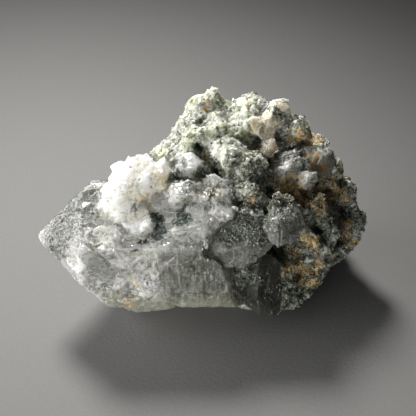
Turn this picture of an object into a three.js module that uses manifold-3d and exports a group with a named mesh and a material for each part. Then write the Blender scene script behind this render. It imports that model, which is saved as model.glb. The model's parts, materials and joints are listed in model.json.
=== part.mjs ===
// A Himalayan quartz specimen: one stout clear crystal with a six-sided point, lying on its side and
// rooted in a lump of chlorite rock, with smaller quartz crystals grown in the same rock.
// Millimetres, +Z up. The origin is the middle of the bottom of the whole specimen's box.
// The big crystal lies along X with its point at -X. -Y is the side that shows the two best prism faces.

import * as THREE from "three";
import { ConvexGeometry } from "three/addons/geometries/ConvexGeometry.js";
import { MeshSurfaceSampler } from "three/addons/math/MeshSurfaceSampler.js";
import { mergeVertices } from "three/addons/utils/BufferGeometryUtils.js";
import Module from "manifold-3d";

// The big crystal
const CRYSTAL_RADIUS = 18; // from its long axis to a prism edge
const CRYSTAL_POINT = [-46, -11.5, 18]; // where six even point faces would meet
const CRYSTAL_LENGTH = 57; // from that point to the broken root inside the rock
const CRYSTAL_SPIN = 26; // turns the prism about its axis, so that it lies on an edge
const POINT_SLOPE = 43; // degrees between a point face and the long axis
// How far each point face stands out from an even point, from the back round over the top to the underside
const POINT_STANDOUT = [-3.4, -0.1, 1.4, 1.2, -3, -5.4];
const MILKY_LENGTH = 12; // of each small crystal in the heap on its upper edge

// The rock
const SOCKET_GAP = 0.32; // between a crystal and the rock that it grew in
const LUMP_COUNT = 44; // middle-sized lumps set on the rock's skin
const LUMP_SEED = 41;
const LUMP_RADIUS = [1.9, 3.6]; // least and most
const GRAIN_COUNT = 96; // small grains of chlorite and quartz
const GRAIN_SEED = 6;
const GRAIN_RADIUS = [0.9, 1.7];
const SUNK = 0.35; // share of a lump's radius by which its middle lies under the rock's skin
const BARE_FOOT = 1.5; // no lump stands lower than this

const SPAN = 400; // more than the whole specimen, for the boxes that cut it

const wasm = await Module();
wasm.setup();

// Numbers from 0 to 1 in an order set by the seed.
function dice(seed) {
  let state = seed * 2654435761;
  return () => {
    state = (state + 0x6d2b79f5) | 0;
    let mixed = Math.imul(state ^ (state >>> 15), 1 | state);
    mixed = (mixed + Math.imul(mixed ^ (mixed >>> 7), 61 | mixed)) ^ mixed;
    return ((mixed ^ (mixed >>> 14)) >>> 0) / 4294967296;
  };
}

function randomDirection(random) {
  const height = 2 * random() - 1;
  const angle = 2 * Math.PI * random();
  const flat = Math.sqrt(1 - height * height);
  return new THREE.Vector3(flat * Math.cos(angle), flat * Math.sin(angle), height);
}

function solidOf(geometry) {
  const bare = geometry.clone();
  bare.deleteAttribute("normal");
  bare.deleteAttribute("uv");
  const merged = mergeVertices(bare, 1e-3);
  const mesh = new wasm.Mesh({
    numProp: 3,
    vertProperties: merged.attributes.position.array,
    triVerts: new Uint32Array(merged.index.array),
  });
  return new wasm.Manifold(mesh);
}

function geometryOf(solid) {
  const mesh = solid.getMesh();
  const positions = new Float32Array(mesh.numVert * 3);
  for (let i = 0; i < mesh.numVert; i++) {
    positions.set(mesh.vertProperties.subarray(i * mesh.numProp, i * mesh.numProp + 3), i * 3);
  }
  const geometry = new THREE.BufferGeometry();
  geometry.setAttribute("position", new THREE.BufferAttribute(positions, 3));
  geometry.setIndex(new THREE.BufferAttribute(mesh.triVerts, 1));
  return geometry;
}

const vector = (p) => new THREE.Vector3(...p);
const joined = (solids) => solids.reduce((all, next) => all.add(next));
const without = (solid, cuts) => cuts.reduce((left, cut) => left.subtract(cut), solid);

function largestPiece(solid) {
  return solid.decompose().reduce((a, b) => (a.volume() > b.volume() ? a : b));
}

// A flat face is kept as its outward normal and its distance from the origin.
function faceAt(normal, point) {
  const n = vector(normal).normalize();
  return { normal: n, distance: n.dot(vector(point)) };
}

// The flat faces of the hull of some corners.
function hullFaces(corners) {
  const hull = new ConvexGeometry(corners.map(vector)).attributes.position;
  const [a, b, c] = [new THREE.Vector3(), new THREE.Vector3(), new THREE.Vector3()];
  const faces = [];
  for (let i = 0; i < hull.count; i += 3) {
    a.fromBufferAttribute(hull, i);
    b.fromBufferAttribute(hull, i + 1).sub(a);
    c.fromBufferAttribute(hull, i + 2).sub(a);
    const normal = b.clone().cross(c).normalize();
    if (faces.some((f) => f.normal.dot(normal) > 0.9999)) continue;
    faces.push({ normal, distance: normal.dot(a) });
  }
  return faces;
}

function meetingPoint(a, b, c) {
  const bc = new THREE.Vector3().crossVectors(b.normal, c.normal);
  const spread = a.normal.dot(bc);
  if (Math.abs(spread) < 1e-5) return null;
  const ca = new THREE.Vector3().crossVectors(c.normal, a.normal);
  const ab = new THREE.Vector3().crossVectors(a.normal, b.normal);
  bc.multiplyScalar(a.distance).addScaledVector(ca, b.distance).addScaledVector(ab, c.distance);
  return bc.divideScalar(spread);
}

// The closed form inside a set of flat faces, each moved out by some room.
function solidInside(faces, room = 0) {
  const moved = faces.map(({ normal, distance }) => ({ normal, distance: distance + room }));
  const corners = [];
  for (let i = 0; i < moved.length; i++)
    for (let j = i + 1; j < moved.length; j++)
      for (let k = j + 1; k < moved.length; k++) {
        const corner = meetingPoint(moved[i], moved[j], moved[k]);
        if (!corner) continue;
        if (moved.some((f) => f.normal.dot(corner) > f.distance + 1e-4)) continue;
        if (corners.some((c) => c.distanceTo(corner) < 2e-3)) continue;
        corners.push(corner);
      }
  return solidOf(new ConvexGeometry(corners));
}

// Crystals cut by their corners and grown together in one solid.
const grownTogether = (crystals) => joined(crystals.map((corners) => solidInside(hullFaces(corners))));
const socketFor = (corners) => solidInside(hullFaces(corners), SOCKET_GAP);

// The faces of a quartz crystal: six prism sides, six point faces and a root.
function quartzFaces({ point, axis, radius, spin, length, standout }) {
  const tip = vector(point);
  const along = vector(axis).normalize();
  const side = new THREE.Vector3().crossVectors(along, new THREE.Vector3(0, 0, 1)).normalize();
  const up = new THREE.Vector3().crossVectors(side, along);
  const lean = THREE.MathUtils.degToRad(POINT_SLOPE);
  const apothem = radius * Math.cos(Math.PI / 6);
  const faces = [{ normal: along.clone().negate(), distance: -along.dot(tip) + length }];
  for (let i = 0; i < 6; i++) {
    const angle = THREE.MathUtils.degToRad(spin - 30 + 60 * i);
    const out = side.clone().multiplyScalar(Math.cos(angle)).addScaledVector(up, Math.sin(angle));
    faces.push({ normal: out, distance: out.dot(tip) + apothem });
    const rhomb = out.clone().multiplyScalar(Math.cos(lean)).addScaledVector(along, Math.sin(lean));
    faces.push({ normal: rhomb, distance: rhomb.dot(tip) + standout[i] });
  }
  return faces;
}

// A broken block: the hull of corners spread evenly over a ball and then shifted at random.
function block({ at, size, seed, corners = 18, shift = 0.4, turn = [0, 0, 0] }) {
  const random = dice(seed);
  const [x, y, z] = turn.map(THREE.MathUtils.degToRad);
  const place = new THREE.Matrix4().makeRotationFromEuler(new THREE.Euler(x, y, z)).setPosition(...at);
  place.scale(vector(size));
  const points = [];
  for (let i = 0; i < corners; i++) {
    const height = 1 - (2 * i + 1) / corners;
    const flat = Math.sqrt(1 - height * height);
    const angle = i * Math.PI * (3 - Math.sqrt(5));
    const corner = new THREE.Vector3(flat * Math.cos(angle), flat * Math.sin(angle), height);
    points.push(corner.addScaledVector(randomDirection(random), shift * random()).applyMatrix4(place));
  }
  return solidOf(new ConvexGeometry(points));
}

// Small shapes set on a solid's skin where the filter lets them stand.
function scattered(solid, count, seed, allowed, shapeAt) {
  const random = dice(seed);
  const host = geometryOf(solid).toNonIndexed();
  host.computeVertexNormals();
  const sampler = new MeshSurfaceSampler(new THREE.Mesh(host)).setRandomGenerator(random).build();
  const point = new THREE.Vector3();
  const normal = new THREE.Vector3();
  const made = [];
  for (let tries = 0; made.length < count && tries < count * 40; tries++) {
    sampler.sample(point, normal);
    if (allowed(point, normal)) made.push(shapeAt(point, normal, random));
  }
  return made;
}

// Everything above the surface that the specimen rests on, so that it stands on a flat cut.
function aboveGround(solid) {
  return solid.intersect(solidOf(new THREE.BoxGeometry(SPAN, SPAN, SPAN).translate(0, 0, SPAN / 2)));
}

// The big crystal: its own faces and the breaks at its root end.
const bigCrystalFaces = [
  ...quartzFaces({
    point: CRYSTAL_POINT,
    axis: [-1, 0, 0],
    radius: CRYSTAL_RADIUS,
    spin: CRYSTAL_SPIN,
    length: CRYSTAL_LENGTH,
    standout: POINT_STANDOUT,
  }),
  faceAt([0.9, -0.3, 0.32], [2.9, -27, 23]), // the break at its root end
];

// Milky crystals grown in a heap along its upper edge
const milkyCrystals = [
  { point: [-27.2, -15.4, 38.2], axis: [-0.9, -0.3, 0.4], radius: 4.6, spin: 10 },
  { point: [-26.2, -10.6, 38.2], axis: [-0.75, 0.1, 0.8], radius: 4.2, spin: 40 },
  { point: [-22.0, -8.2, 41.2], axis: [-0.35, 0.2, 1], radius: 4.8, spin: 25 },
  { point: [-17.2, -6.6, 43.2], axis: [0.1, 0.3, 1], radius: 4.8, spin: 5 },
  { point: [-12.8, -5.6, 42.4], axis: [0.4, 0.1, 1], radius: 4.2, spin: 50 },
  { point: [-20.0, -13.2, 41.6], axis: [-0.15, -0.4, 1], radius: 5.8, spin: 15 },
  { point: [-25.2, -19.8, 37.2], axis: [-0.5, -0.7, 0.6], radius: 4.6, spin: 35 },
  { point: [-20.2, -19.6, 38.0], axis: [0.1, -0.7, 0.8], radius: 4.6, spin: 0 },
  { point: [-14.6, -14.0, 40.4], axis: [0.3, -0.6, 0.9], radius: 4.8, spin: 20 },
  { point: [-10.4, -9.8, 40.6], axis: [0.4, -0.3, 0.9], radius: 4.6, spin: 45 },
  { point: [-6.8, -6.2, 41.0], axis: [-0.5, -0.3, 0.9], radius: 4.2, spin: 30 },
  { point: [-2.4, -6.8, 40.2], axis: [0.5, -0.5, 0.8], radius: 4.0, spin: 10 },
].map((one, i) => ({
  ...one,
  length: MILKY_LENGTH,
  standout: [0.4, -0.9, 0.5, 0, -1, 0.3].map((out, face) => out * ((i + face) % 3)), // no two alike
}));

// Broken plates standing out of its root end
const rootPlates = [
  [
    [-4, -12, 35.6], [1.6, -8.4, 38.6], [5.6, -10, 37], [5, -14.6, 34.6], [-1, -16, 34.8], [2, -12, 31],
    [-3, -9, 32],
  ],
  [
    [1.2, -14, 35.4], [5.6, -13, 35.2], [6.8, -17.6, 32.8], [4, -20.6, 32.6], [0.4, -18.4, 33.6],
    [3, -15, 29], [5, -18, 28],
  ],
  [
    [-9.5, -11.6, 36.6], [-4.6, -9.8, 37.6], [-2.4, -13.4, 36.4], [-6.6, -16, 35], [-10, -14, 35.2],
    [-6, -12, 32],
  ],
];

// The shallow hollows that flakes left in its upper face and its front face
const flakeScars = [
  { at: [-16.8, -18.8, 33.4], size: [5.4, 5.2, 2.6], seed: 1, corners: 70, shift: 0.02, turn: [26, 0, 0] },
  { at: [-22.4, -28, 19.4], size: [11.4, 9.6, 1.9], seed: 2, corners: 110, shift: 0.02, turn: [86, 0, 0] },
];

// A thin sill along its lower front edge
const edgeSill = [
  [-22.2, -26.2, 10.4], [-20.4, -27.7, 8.8], [-14.6, -27.9, 8.7], [-8.6, -27.7, 9.6], [-15, -26.8, 12],
  [-17, -24, 8.6], [-11, -24.6, 9],
];

// The corner of its root end that is broken off, where the blades stand
const towardBreak = new THREE.Vector3(0, -9.5, 7.4);
const brokenCorner = [
  [-1.2, -22.4, 23], [4.2, -24.8, 21], [9.6, -25.2, 20.4], [14, -23.8, 23], [0.4, -20.8, 28.6],
  [6, -16.8, 32.6], [13, -14, 32],
].flatMap((corner) => [corner, vector(corner).add(towardBreak).toArray()]);

function quartzCrystal() {
  const breaks = [...flakeScars.map(block), solidInside(hullFaces(brokenCorner))];
  const stem = without(solidInside(bigCrystalFaces), breaks);
  const heap = milkyCrystals.map((one) => solidInside(quartzFaces(one)));
  const whole = joined([stem, ...heap, grownTogether([...rootPlates, edgeSill])]);
  return largestPiece(aboveGround(without(whole, [...frontBlades, lowerCrystal].map(socketFor))));
}

// The smaller quartz crystals that stand out of the rock, cut by their corners
const frontBlades = [
  [
    [-0.6, -23, 23.4], [4.2, -25.4, 21.6], [9.1, -25.6, 21.2], [13.4, -24.2, 23.2], [16.6, -22, 26.2],
    [15.4, -17, 30.4], [11.4, -14.6, 32], [6.6, -17, 31.8], [1.2, -21, 28], [3.4, -24.7, 26.3],
    [12.4, -23.4, 27.4], [2.4, -15, 21], [9, -14, 19.4], [15, -14, 22],
  ],
  [
    [13.2, -19, 30.6], [14.8, -22, 27.3], [17.1, -23.4, 25.3], [20.6, -21.8, 25.7], [23.5, -19, 27.4],
    [24.2, -17, 28.2], [23.4, -14, 29.2], [21, -11, 31.4], [16.4, -13, 32.2], [17, -20.4, 31.8],
    [21.6, -17.6, 31], [17, -13, 24], [21, -12, 25],
  ],
];

const lowerCrystal = [
  [9.2, -21, 17.4], [12.6, -21.6, 20.4], [13.6, -20.4, 20.6], [17.2, -18, 18], [18.8, -18, 14.2],
  [19, -20.6, 6.4], [18.2, -21.4, 1.2], [12.8, -24, 3.8], [8.2, -22, 7.2], [12.4, -23.8, 18],
  [12.6, -26, 10.6], [9, -14, 6], [17, -13, 3], [13, -12, 16],
];

function lowerQuartzCrystal() {
  return without(solidInside(hullFaces(lowerCrystal)), frontBlades.map(socketFor));
}

const sideCluster = [
  [
    [16.2, -0.6, 36.4], [18.4, 0.6, 38], [22.8, 1, 39.2], [23.8, -3.6, 37], [22.6, -6, 34.2],
    [17.2, -7.2, 30.8], [15.6, -4, 31], [19.6, -6, 37], [16.6, -4.4, 36.2], [19, 2, 31], [24, 2, 33],
  ],
  [
    [23.4, 2, 38.6], [27.4, 3.4, 38.2], [32.4, 3.4, 36.6], [33.4, 1, 33.4], [30.2, -3, 31.4],
    [25, -5, 34], [22.6, -2, 35.6], [26.8, -0.8, 37.6], [30.2, 0.4, 36.8], [26, 4, 31], [31, 5, 31],
  ],
  [
    [22.4, -6, 34.6], [23.4, -5, 36], [27.6, -5, 35.8], [28.6, -6, 33.8], [27, -8, 32.6],
    [24.8, -9, 32], [23.2, -8.6, 33.2], [25.2, -8, 36], [25, -3, 31],
  ],
];

const topCluster = [
  [
    [13.6, 8, 43.6], [16, 11, 46.4], [19.4, 12, 47.2], [21, 12, 46.6], [21.8, 9, 44.8], [19.4, 6, 43.6],
    [17, 2, 41.4], [13.6, 1, 41.6], [12.6, 4, 43], [16.6, 6.4, 45.6], [17, 10, 39], [14, 4, 37],
  ],
  [
    [9.4, 4, 44.6], [11.2, 5, 45.6], [13.6, 5, 45], [13.8, 1, 42.2], [12, 0.8, 41.8], [10.6, 1.6, 43],
    [14.6, 5, 41],
  ],
  [
    [12.8, 0.6, 41.6], [17.2, 1.6, 41.4], [18.6, -1.4, 39], [16.4, -3.2, 37.8], [13, -2.6, 38.6],
    [15.4, -2, 40.8], [15.6, 4.4, 39.4],
  ],
];

// The rock, as the broken blocks that it is made of
const rockBlocks = [
  { at: [12, 1, 17.6], size: [20.6, 16.6, 18], seed: 51, corners: 36, shift: 0.25 }, // the heart of it
  { at: [0.8, 10.4, 36.6], size: [9.6, 9, 10], seed: 52, corners: 26 }, // the peak
  { at: [-4.4, 3.6, 34.4], size: [8.8, 8.2, 8], seed: 53, corners: 22 }, // the slope above the crystal
  { at: [10.5, 9.4, 36.8], size: [10, 9.2, 8.2], seed: 54, corners: 22 }, // the top ridge
  { at: [17, 8, 34.2], size: [7.8, 8.4, 8.2], seed: 55, corners: 22 },
  { at: [23.4, 6.4, 28], size: [8.4, 9, 9.4], seed: 56, corners: 22 },
  { at: [28.2, 2.4, 21.4], size: [9, 9.4, 9.2], seed: 57, corners: 24 },
  { at: [31.8, -0.2, 15], size: [7.6, 8.2, 7.6], seed: 58, corners: 22 },
  { at: [25, -7, 17], size: [8.8, 8.2, 9], seed: 59, corners: 22 },
  { at: [22.4, -7.6, 7], size: [9.6, 10, 9.6], seed: 60, corners: 22 },
  { at: [10, -8, 29], size: [9.6, 8.4, 9.2], seed: 61, corners: 22 },
  { at: [13, -11.4, 8], size: [11.6, 9.8, 10.4], seed: 62, corners: 22 },
  { at: [6.4, -18.6, 15], size: [5, 6.4, 7], seed: 50 },
  { at: [3, 9, 12], size: [15, 10.6, 15], seed: 63, corners: 28 },
  { at: [21, 9, 11], size: [12.4, 11, 13.6], seed: 64, corners: 28 },
  { at: [9, 12.6, 26.6], size: [14.6, 9.4, 11.4], seed: 49, corners: 26 }, // the back
  { at: [-8.8, 2.2, 36.2], size: [3.4, 3.8, 3], seed: 65 }, // knobs down the left slope
  { at: [-6.8, 6, 41.2], size: [3, 3.6, 4], seed: 66 },
  { at: [-2.6, 11.6, 45.2], size: [3.8, 3.6, 3], seed: 67 },
  { at: [1.8, 13, 46.2], size: [3, 3.2, 2.6], seed: 68 },
  { at: [-2.6, 2.6, 41.2], size: [4, 4.4, 3.6], seed: 69 },
  { at: [3.4, 2.4, 42], size: [4.2, 4.4, 3.6], seed: 70 },
  { at: [5.6, -3.4, 39.4], size: [5.4, 4.8, 3.6], seed: 71 },
  { at: [10, -4.6, 37], size: [4.6, 4.4, 4], seed: 72 },
  { at: [11, 12.4, 44.6], size: [5.4, 4, 2.5], seed: 73 },
  { at: [19.4, -16.6, 3], size: [5.6, 5.6, 6], seed: 48 }, // the foot at the front
  { at: [23.2, 7.6, 40], size: [4.2, 4.2, 3.4], seed: 74 }, // knobs down the right slope
  { at: [28.2, 6.2, 35.6], size: [4.2, 4.4, 3.4], seed: 75 },
  { at: [30.6, 0.4, 28.4], size: [4.4, 4.4, 4.2], seed: 76 },
  { at: [33, 2, 31.6], size: [2.8, 3, 3], seed: 47 },
  { at: [35.8, 1, 24.8], size: [4, 4, 4], seed: 77 },
  { at: [37.2, -1.4, 17.4], size: [3.6, 3.8, 4.4], seed: 78 },
  { at: [26.4, -8.4, 26], size: [4.6, 4.2, 4.6], seed: 79 },
  { at: [30, -6.4, 20.6], size: [4.6, 4.2, 4.6], seed: 80 },
];

// Thin leaves of the rock that stand out along its lower right side
const ledges = [
  { at: [36, -5, 12.8], size: [8.4, 4, 2], seed: 91, turn: [22, -44, 40] },
  { at: [30.6, -9.4, 10.6], size: [8.4, 3.4, 1.7], seed: 92, turn: [24, -44, 40] },
  { at: [28, -12.4, 7], size: [8.6, 3.6, 1.6], seed: 93, turn: [24, -44, 42] },
  { at: [24, -15.4, 5], size: [7.6, 3.6, 1.8], seed: 94, turn: [24, -42, 42] },
];

const hollows = [
  { at: [-1.6, 2.4, 46], size: [2.8, 3, 2.4], seed: 81 },
  { at: [-1.6, -2.4, 41.6], size: [1.8, 2, 2], seed: 82 },
  { at: [0.6, -6.6, 39.6], size: [2.6, 2.4, 2], seed: 83 },
  { at: [21, -18.6, 20.6], size: [5.2, 6, 3.2], seed: 84, turn: [-20, -14, 0] },
  { at: [20.6, -11.4, 32.6], size: [4.6, 2.6, 1.6], seed: 85 },
  { at: [30.4, -5, 27.4], size: [2.6, 3.4, 1.8], seed: 86 },
  { at: [35.4, -6.4, 14.6], size: [3.4, 2.4, 1.6], seed: 87, turn: [0, -38, 0] },
  { at: [10.4, 2.8, 45.8], size: [2.6, 3.2, 1.6], seed: 88 },
];

// The flat break that bounds the rock low down at the right, where it overhangs
const UNDERCUT = faceAt([0.7, -0.67, -0.25], [31.2, -7.4, 1.2]);

const beyondUndercut = new THREE.BoxGeometry(SPAN, SPAN, SPAN)
  .translate(0, 0, SPAN / 2 + UNDERCUT.distance)
  .applyQuaternion(new THREE.Quaternion().setFromUnitVectors(new THREE.Vector3(0, 0, 1), UNDERCUT.normal));

// A lump or a grain, sunk a little into the skin that it stands on.
function chunk([least, most], corners) {
  return (point, normal, random) => {
    const radius = least + (most - least) * random();
    return block({
      at: point.clone().addScaledVector(normal, -SUNK * radius).toArray(),
      size: [radius, radius * (0.7 + 0.4 * random()), radius * (0.6 + 0.5 * random())],
      seed: Math.floor(1e6 * random()),
      turn: [360 * random(), 360 * random(), 0],
      corners,
    });
  };
}

function chloriteRock() {
  const smallCrystals = [...frontBlades, lowerCrystal, ...sideCluster, ...topCluster];
  const boxes = smallCrystals.map((corners) => new THREE.Box3().setFromPoints(corners.map(vector)));
  const apart = (point) => boxes.every((box) => box.distanceToPoint(point) > SOCKET_GAP);
  const clear = (point) => point.z > BARE_FOOT && apart(point);
  const blocks = joined(rockBlocks.map(block)).subtract(solidOf(beyondUndercut));
  const bulk = joined([blocks, ...ledges.map(block)]);
  const lumps = scattered(bulk, LUMP_COUNT, LUMP_SEED, clear, chunk(LUMP_RADIUS, 11));
  const lumpy = without(joined([bulk, ...lumps]), hollows.map(block));
  const grains = scattered(lumpy, GRAIN_COUNT, GRAIN_SEED, clear, chunk(GRAIN_RADIUS, 8));
  const crystals = [
    bigCrystalFaces,
    ...milkyCrystals.map(quartzFaces),
    ...[...rootPlates, edgeSill, ...smallCrystals].map(hullFaces),
  ];
  const sockets = crystals.map((faces) => solidInside(faces, SOCKET_GAP));
  return largestPiece(aboveGround(without(joined([lumpy, ...grains]), sockets)));
}

const clearQuartz = new THREE.MeshStandardMaterial({ color: 0xd9dcd6, roughness: 0.12, metalness: 0 });
const smokyQuartz = new THREE.MeshStandardMaterial({ color: 0xa9aba6, roughness: 0.25, metalness: 0 });
const stainedQuartz = new THREE.MeshStandardMaterial({ color: 0xd8c6ae, roughness: 0.35, metalness: 0 });
const chlorite = new THREE.MeshStandardMaterial({ color: 0x6f7a6c, roughness: 0.85, metalness: 0 });

const specimen = new THREE.Group();

function place(name, solid, material) {
  const mesh = new THREE.Mesh(geometryOf(solid), material);
  mesh.name = name;
  specimen.add(mesh);
}

place("quartz_crystal", quartzCrystal(), clearQuartz);
place("front_quartz_blades", grownTogether(frontBlades), smokyQuartz);
place("lower_quartz_crystal", lowerQuartzCrystal(), smokyQuartz);
place("side_quartz_cluster", grownTogether(sideCluster), smokyQuartz);
place("top_quartz_cluster", grownTogether(topCluster), stainedQuartz);
place("chlorite_rock", chloriteRock(), chlorite);

// The middle of the bottom of the whole specimen's box becomes the origin.
const box = new THREE.Box3().setFromObject(specimen);
const middle = box.getCenter(new THREE.Vector3());
specimen.children.forEach((mesh) => mesh.geometry.translate(-middle.x, -middle.y, -box.min.z));

export default specimen;
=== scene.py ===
import json
import math

import bmesh
import bpy
import numpy as np
from bpy.props import (
    FloatProperty,
    FloatVectorProperty,
    IntProperty,
    PointerProperty,
)
from mathutils import Matrix, Vector
from mathutils.bvhtree import BVHTree

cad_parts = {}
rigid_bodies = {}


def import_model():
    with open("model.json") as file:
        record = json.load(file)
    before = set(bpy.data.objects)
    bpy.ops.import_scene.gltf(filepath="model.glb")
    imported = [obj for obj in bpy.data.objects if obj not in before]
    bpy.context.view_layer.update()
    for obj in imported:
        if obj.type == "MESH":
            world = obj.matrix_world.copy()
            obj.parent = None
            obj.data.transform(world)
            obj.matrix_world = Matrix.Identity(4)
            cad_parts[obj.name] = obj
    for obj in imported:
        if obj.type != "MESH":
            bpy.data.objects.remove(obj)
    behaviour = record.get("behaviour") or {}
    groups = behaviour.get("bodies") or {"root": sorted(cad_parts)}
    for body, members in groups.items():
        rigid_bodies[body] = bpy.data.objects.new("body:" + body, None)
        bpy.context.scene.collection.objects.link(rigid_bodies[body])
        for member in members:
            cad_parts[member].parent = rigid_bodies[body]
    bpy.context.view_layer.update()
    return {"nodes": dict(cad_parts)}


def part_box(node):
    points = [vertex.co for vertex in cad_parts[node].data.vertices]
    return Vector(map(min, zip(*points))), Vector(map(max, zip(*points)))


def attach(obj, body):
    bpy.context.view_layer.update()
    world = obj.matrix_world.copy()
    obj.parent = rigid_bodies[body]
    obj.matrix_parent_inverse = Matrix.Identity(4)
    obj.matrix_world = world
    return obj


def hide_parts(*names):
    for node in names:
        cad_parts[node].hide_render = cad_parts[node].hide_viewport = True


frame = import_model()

bl_info = {
    "name": "Himalayan Quartz Specimen",
    "version": (1, 0, 0),
    "blender": (4, 5, 0),
    "location": "View3D > Sidebar > Specimen",
    "description": "Dresses the packed solids of a quartz and chlorite specimen",
    "category": "Object",
}

MM = 0.001
BODY = "root"

# In each table of spots a row holds (middle in mm, radius in mm, strength)
# Pale rock, rich in quartz
PALE_SPOTS = (
    ((1.9, 15.2, 48.5), 9, 1.0),
    ((-1.4, 11.6, 45.3), 8, 1.0),
    ((-3.9, 7.3, 43.5), 8, 1.0),
    ((5.0, 14.2, 45.2), 8, 1.0),
    ((11.4, 12.4, 46.3), 7, 0.9),
    ((-7.8, 6.1, 39.8), 8, 1.0),
    ((6.2, 4.4, 43.9), 7, 1.0),
    ((4.9, -2.2, 42.4), 5.5, 0.9),
    ((-9.0, 1.2, 38.5), 7, 1.0),
    ((-4.0, 16.0, 36.0), 12, 0.8),
    ((16.0, 13.0, 45.0), 5, 0.8),
    ((28.0, 9.0, 38.0), 6, 0.55),
    ((24.2, 7.3, 40.5), 3.5, 0.6),
    ((29.0, 6.9, 37.6), 3.5, 0.6),
)
# Bare quartz in the rock
GLASSY_SPOTS = (
    ((-6.0, 6.9, 43.8), 3.4, 1.0),
    ((-9.0, 1.2, 38.5), 3.4, 1.0),
    ((-7.6, 6.5, 40.1), 2.6, 1.0),
    ((-1.4, 10.9, 45.2), 2.4, 0.9),
    ((8.8, 9.7, 44.1), 2.8, 0.9),
    ((5.1, -2.2, 42.4), 3.2, 1.0),
    ((2.5, 0.5, 41.0), 2.6, 0.9),
    ((15.3, 13.5, 45.6), 3.0, 1.0),
    ((4.0, -7.0, 38.0), 2.6, 0.9),
    ((24.0, -7.5, 29.0), 2.4, 0.8),
)
# An olive tint on the bare quartz
OLIVE_SPOTS = (
    ((6.0, -1.8, 42.4), 3.5, 0.4),
    ((-6.0, 6.9, 43.8), 3.0, 0.8),
    ((-7.6, 6.5, 40.1), 2.6, 0.8),
    ((-9.5, 3.0, 39.0), 2.0, 0.6),
)
# Rock dark with chlorite
DARK_SPOTS = (
    ((7.5, -1.0, 42.3), 4, 0.4),
    ((3.5, -1.8, 42.0), 2.5, 0.3),
    ((20.0, -8.5, 32.0), 5, 0.75),
    ((12.0, -13.0, 32.0), 4, 0.6),
    ((27.6, -11.7, 11.9), 4, 0.5),
    ((25.9, -13.3, 7.4), 4, 0.85),
    ((31.2, -8.9, 11.5), 3.5, 0.4),
    ((22.3, -13.6, 11.2), 3.5, 0.6),
    ((8.6, -4.9, 39.8), 5, 0.5),
    ((13.9, -9.9, 36.4), 4, 0.9),
    ((16.6, -6.9, 33.2), 4, 1.0),
    ((10.9, -11.8, 37.2), 6, 0.45),
    ((8.5, -11.8, 32.6), 5, 0.45),
    ((32.3, -0.1, 25.2), 9, 0.75),
    ((36.7, 0.4, 19.8), 8, 0.85),
    ((38.5, -3.0, 15.8), 8, 0.75),
    ((27.3, -8.6, 24.6), 4, 1.0),
    ((31.3, -10.0, 20.5), 4, 1.0),
    ((19.9, -10.9, 16.6), 5, 1.0),
    ((7.9, -20.8, 15.9), 6, 1.0),
    ((22.0, -15.7, 4.3), 8, 1.0),
    ((30.0, -11.0, 5.0), 6, 1.0),
    ((0.6, -0.4, 37.2), 3, 0.9),
    ((-0.9, 7.7, 43.9), 2.4, 0.6),
    ((-1.6, 1.3, 40.0), 2.2, 0.8),
    ((4.4, 2.2, 42.4), 2.0, 0.7),
    ((8.0, 24.0, 22.0), 16, 0.55),
    ((26.0, 18.0, 16.0), 14, 0.65),
    ((-6.0, 20.0, 12.0), 10, 0.5),
    ((-9.0, 13.0, 23.0), 9, 0.55),
    ((-8.0, 10.0, 9.0), 9, 0.6),
)
# Rust on the rock and on the crystals in it
STAIN_SPOTS = (
    ((23.6, 7.4, 42.0), 2.4, 0.8),
    ((21.7, 7.8, 40.8), 1.8, 0.6),
    ((24.0, 7.2, 39.3), 2.4, 0.9),
    ((27.3, 8.1, 37.8), 3, 0.7),
    ((20.1, -3.9, 32.5), 3, 1.0),
    ((19.5, -6.0, 31.0), 3.5, 1.0),
    ((22.1, -5.1, 30.3), 3.5, 1.0),
    ((24.2, -3.4, 31.2), 3, 1.0),
    ((27.5, -5.1, 30.0), 3, 1.0),
    ((29.4, -6.2, 29.5), 3.5, 1.0),
    ((32.3, 0.3, 30.1), 3, 1.0),
    ((33.8, 1.0, 27.6), 3, 1.0),
    ((34.3, 2.6, 30.2), 2.5, 0.9),
    ((36.1, -2.4, 17.7), 2.5, 1.0),
    ((37.0, -1.0, 14.8), 2.5, 1.0),
    ((38.5, -4.7, 14.1), 2, 0.9),
    ((26.9, -10.1, 20.0), 3, 0.7),
    ((23.0, -12.5, 13.0), 4, 0.6),
    ((26.7, -12.4, 9.3), 3.5, 0.65),
    ((30.0, -10.0, 12.5), 3.0, 0.65),
    ((11.4, -12.1, 35.6), 2.5, 0.6),
    ((17.3, -3.5, 34.1), 2.5, 0.6),
    ((-0.6, 12.3, 47.0), 1.5, 0.7),
    ((10.2, 14.0, 46.5), 1.5, 0.5),
    ((0.6, -0.4, 37.2), 2.0, 0.5),
)
# Pits and crevices in the rock: (middle, radius, depth), all in mm
HOLLOWS = (
    ((19.9, -10.9, 16.6), 4.6, 2.6),
    ((23.7, -12.1, 16.0), 3.6, 2.2),
    ((14.2, -9.5, 36.0), 2.2, 1.2),
    ((16.8, -6.9, 33.2), 2.2, 1.3),
    ((26.1, -3.8, 29.9), 2.2, 1.6),
    ((27.3, -8.6, 24.6), 2.4, 1.8),
    ((29.0, -8.3, 22.1), 2.4, 1.8),
    ((31.3, -10.0, 20.5), 2.6, 1.8),
    ((34.4, -5.5, 15.1), 2.4, 1.6),
    ((37.5, 0.4, 20.5), 1.8, 1.2),
    ((33.0, 8.0, 22.0), 3.0, 2.0),
    ((25.9, -14.8, 6.2), 2.6, 1.2),
    ((-0.9, 7.7, 43.9), 2.4, 1.0),
    ((-1.6, 1.3, 40.0), 2.0, 1.4),
    ((0.6, -0.4, 37.2), 1.6, 0.8),
    ((4.4, 2.2, 42.4), 1.6, 0.5),
)
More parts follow.
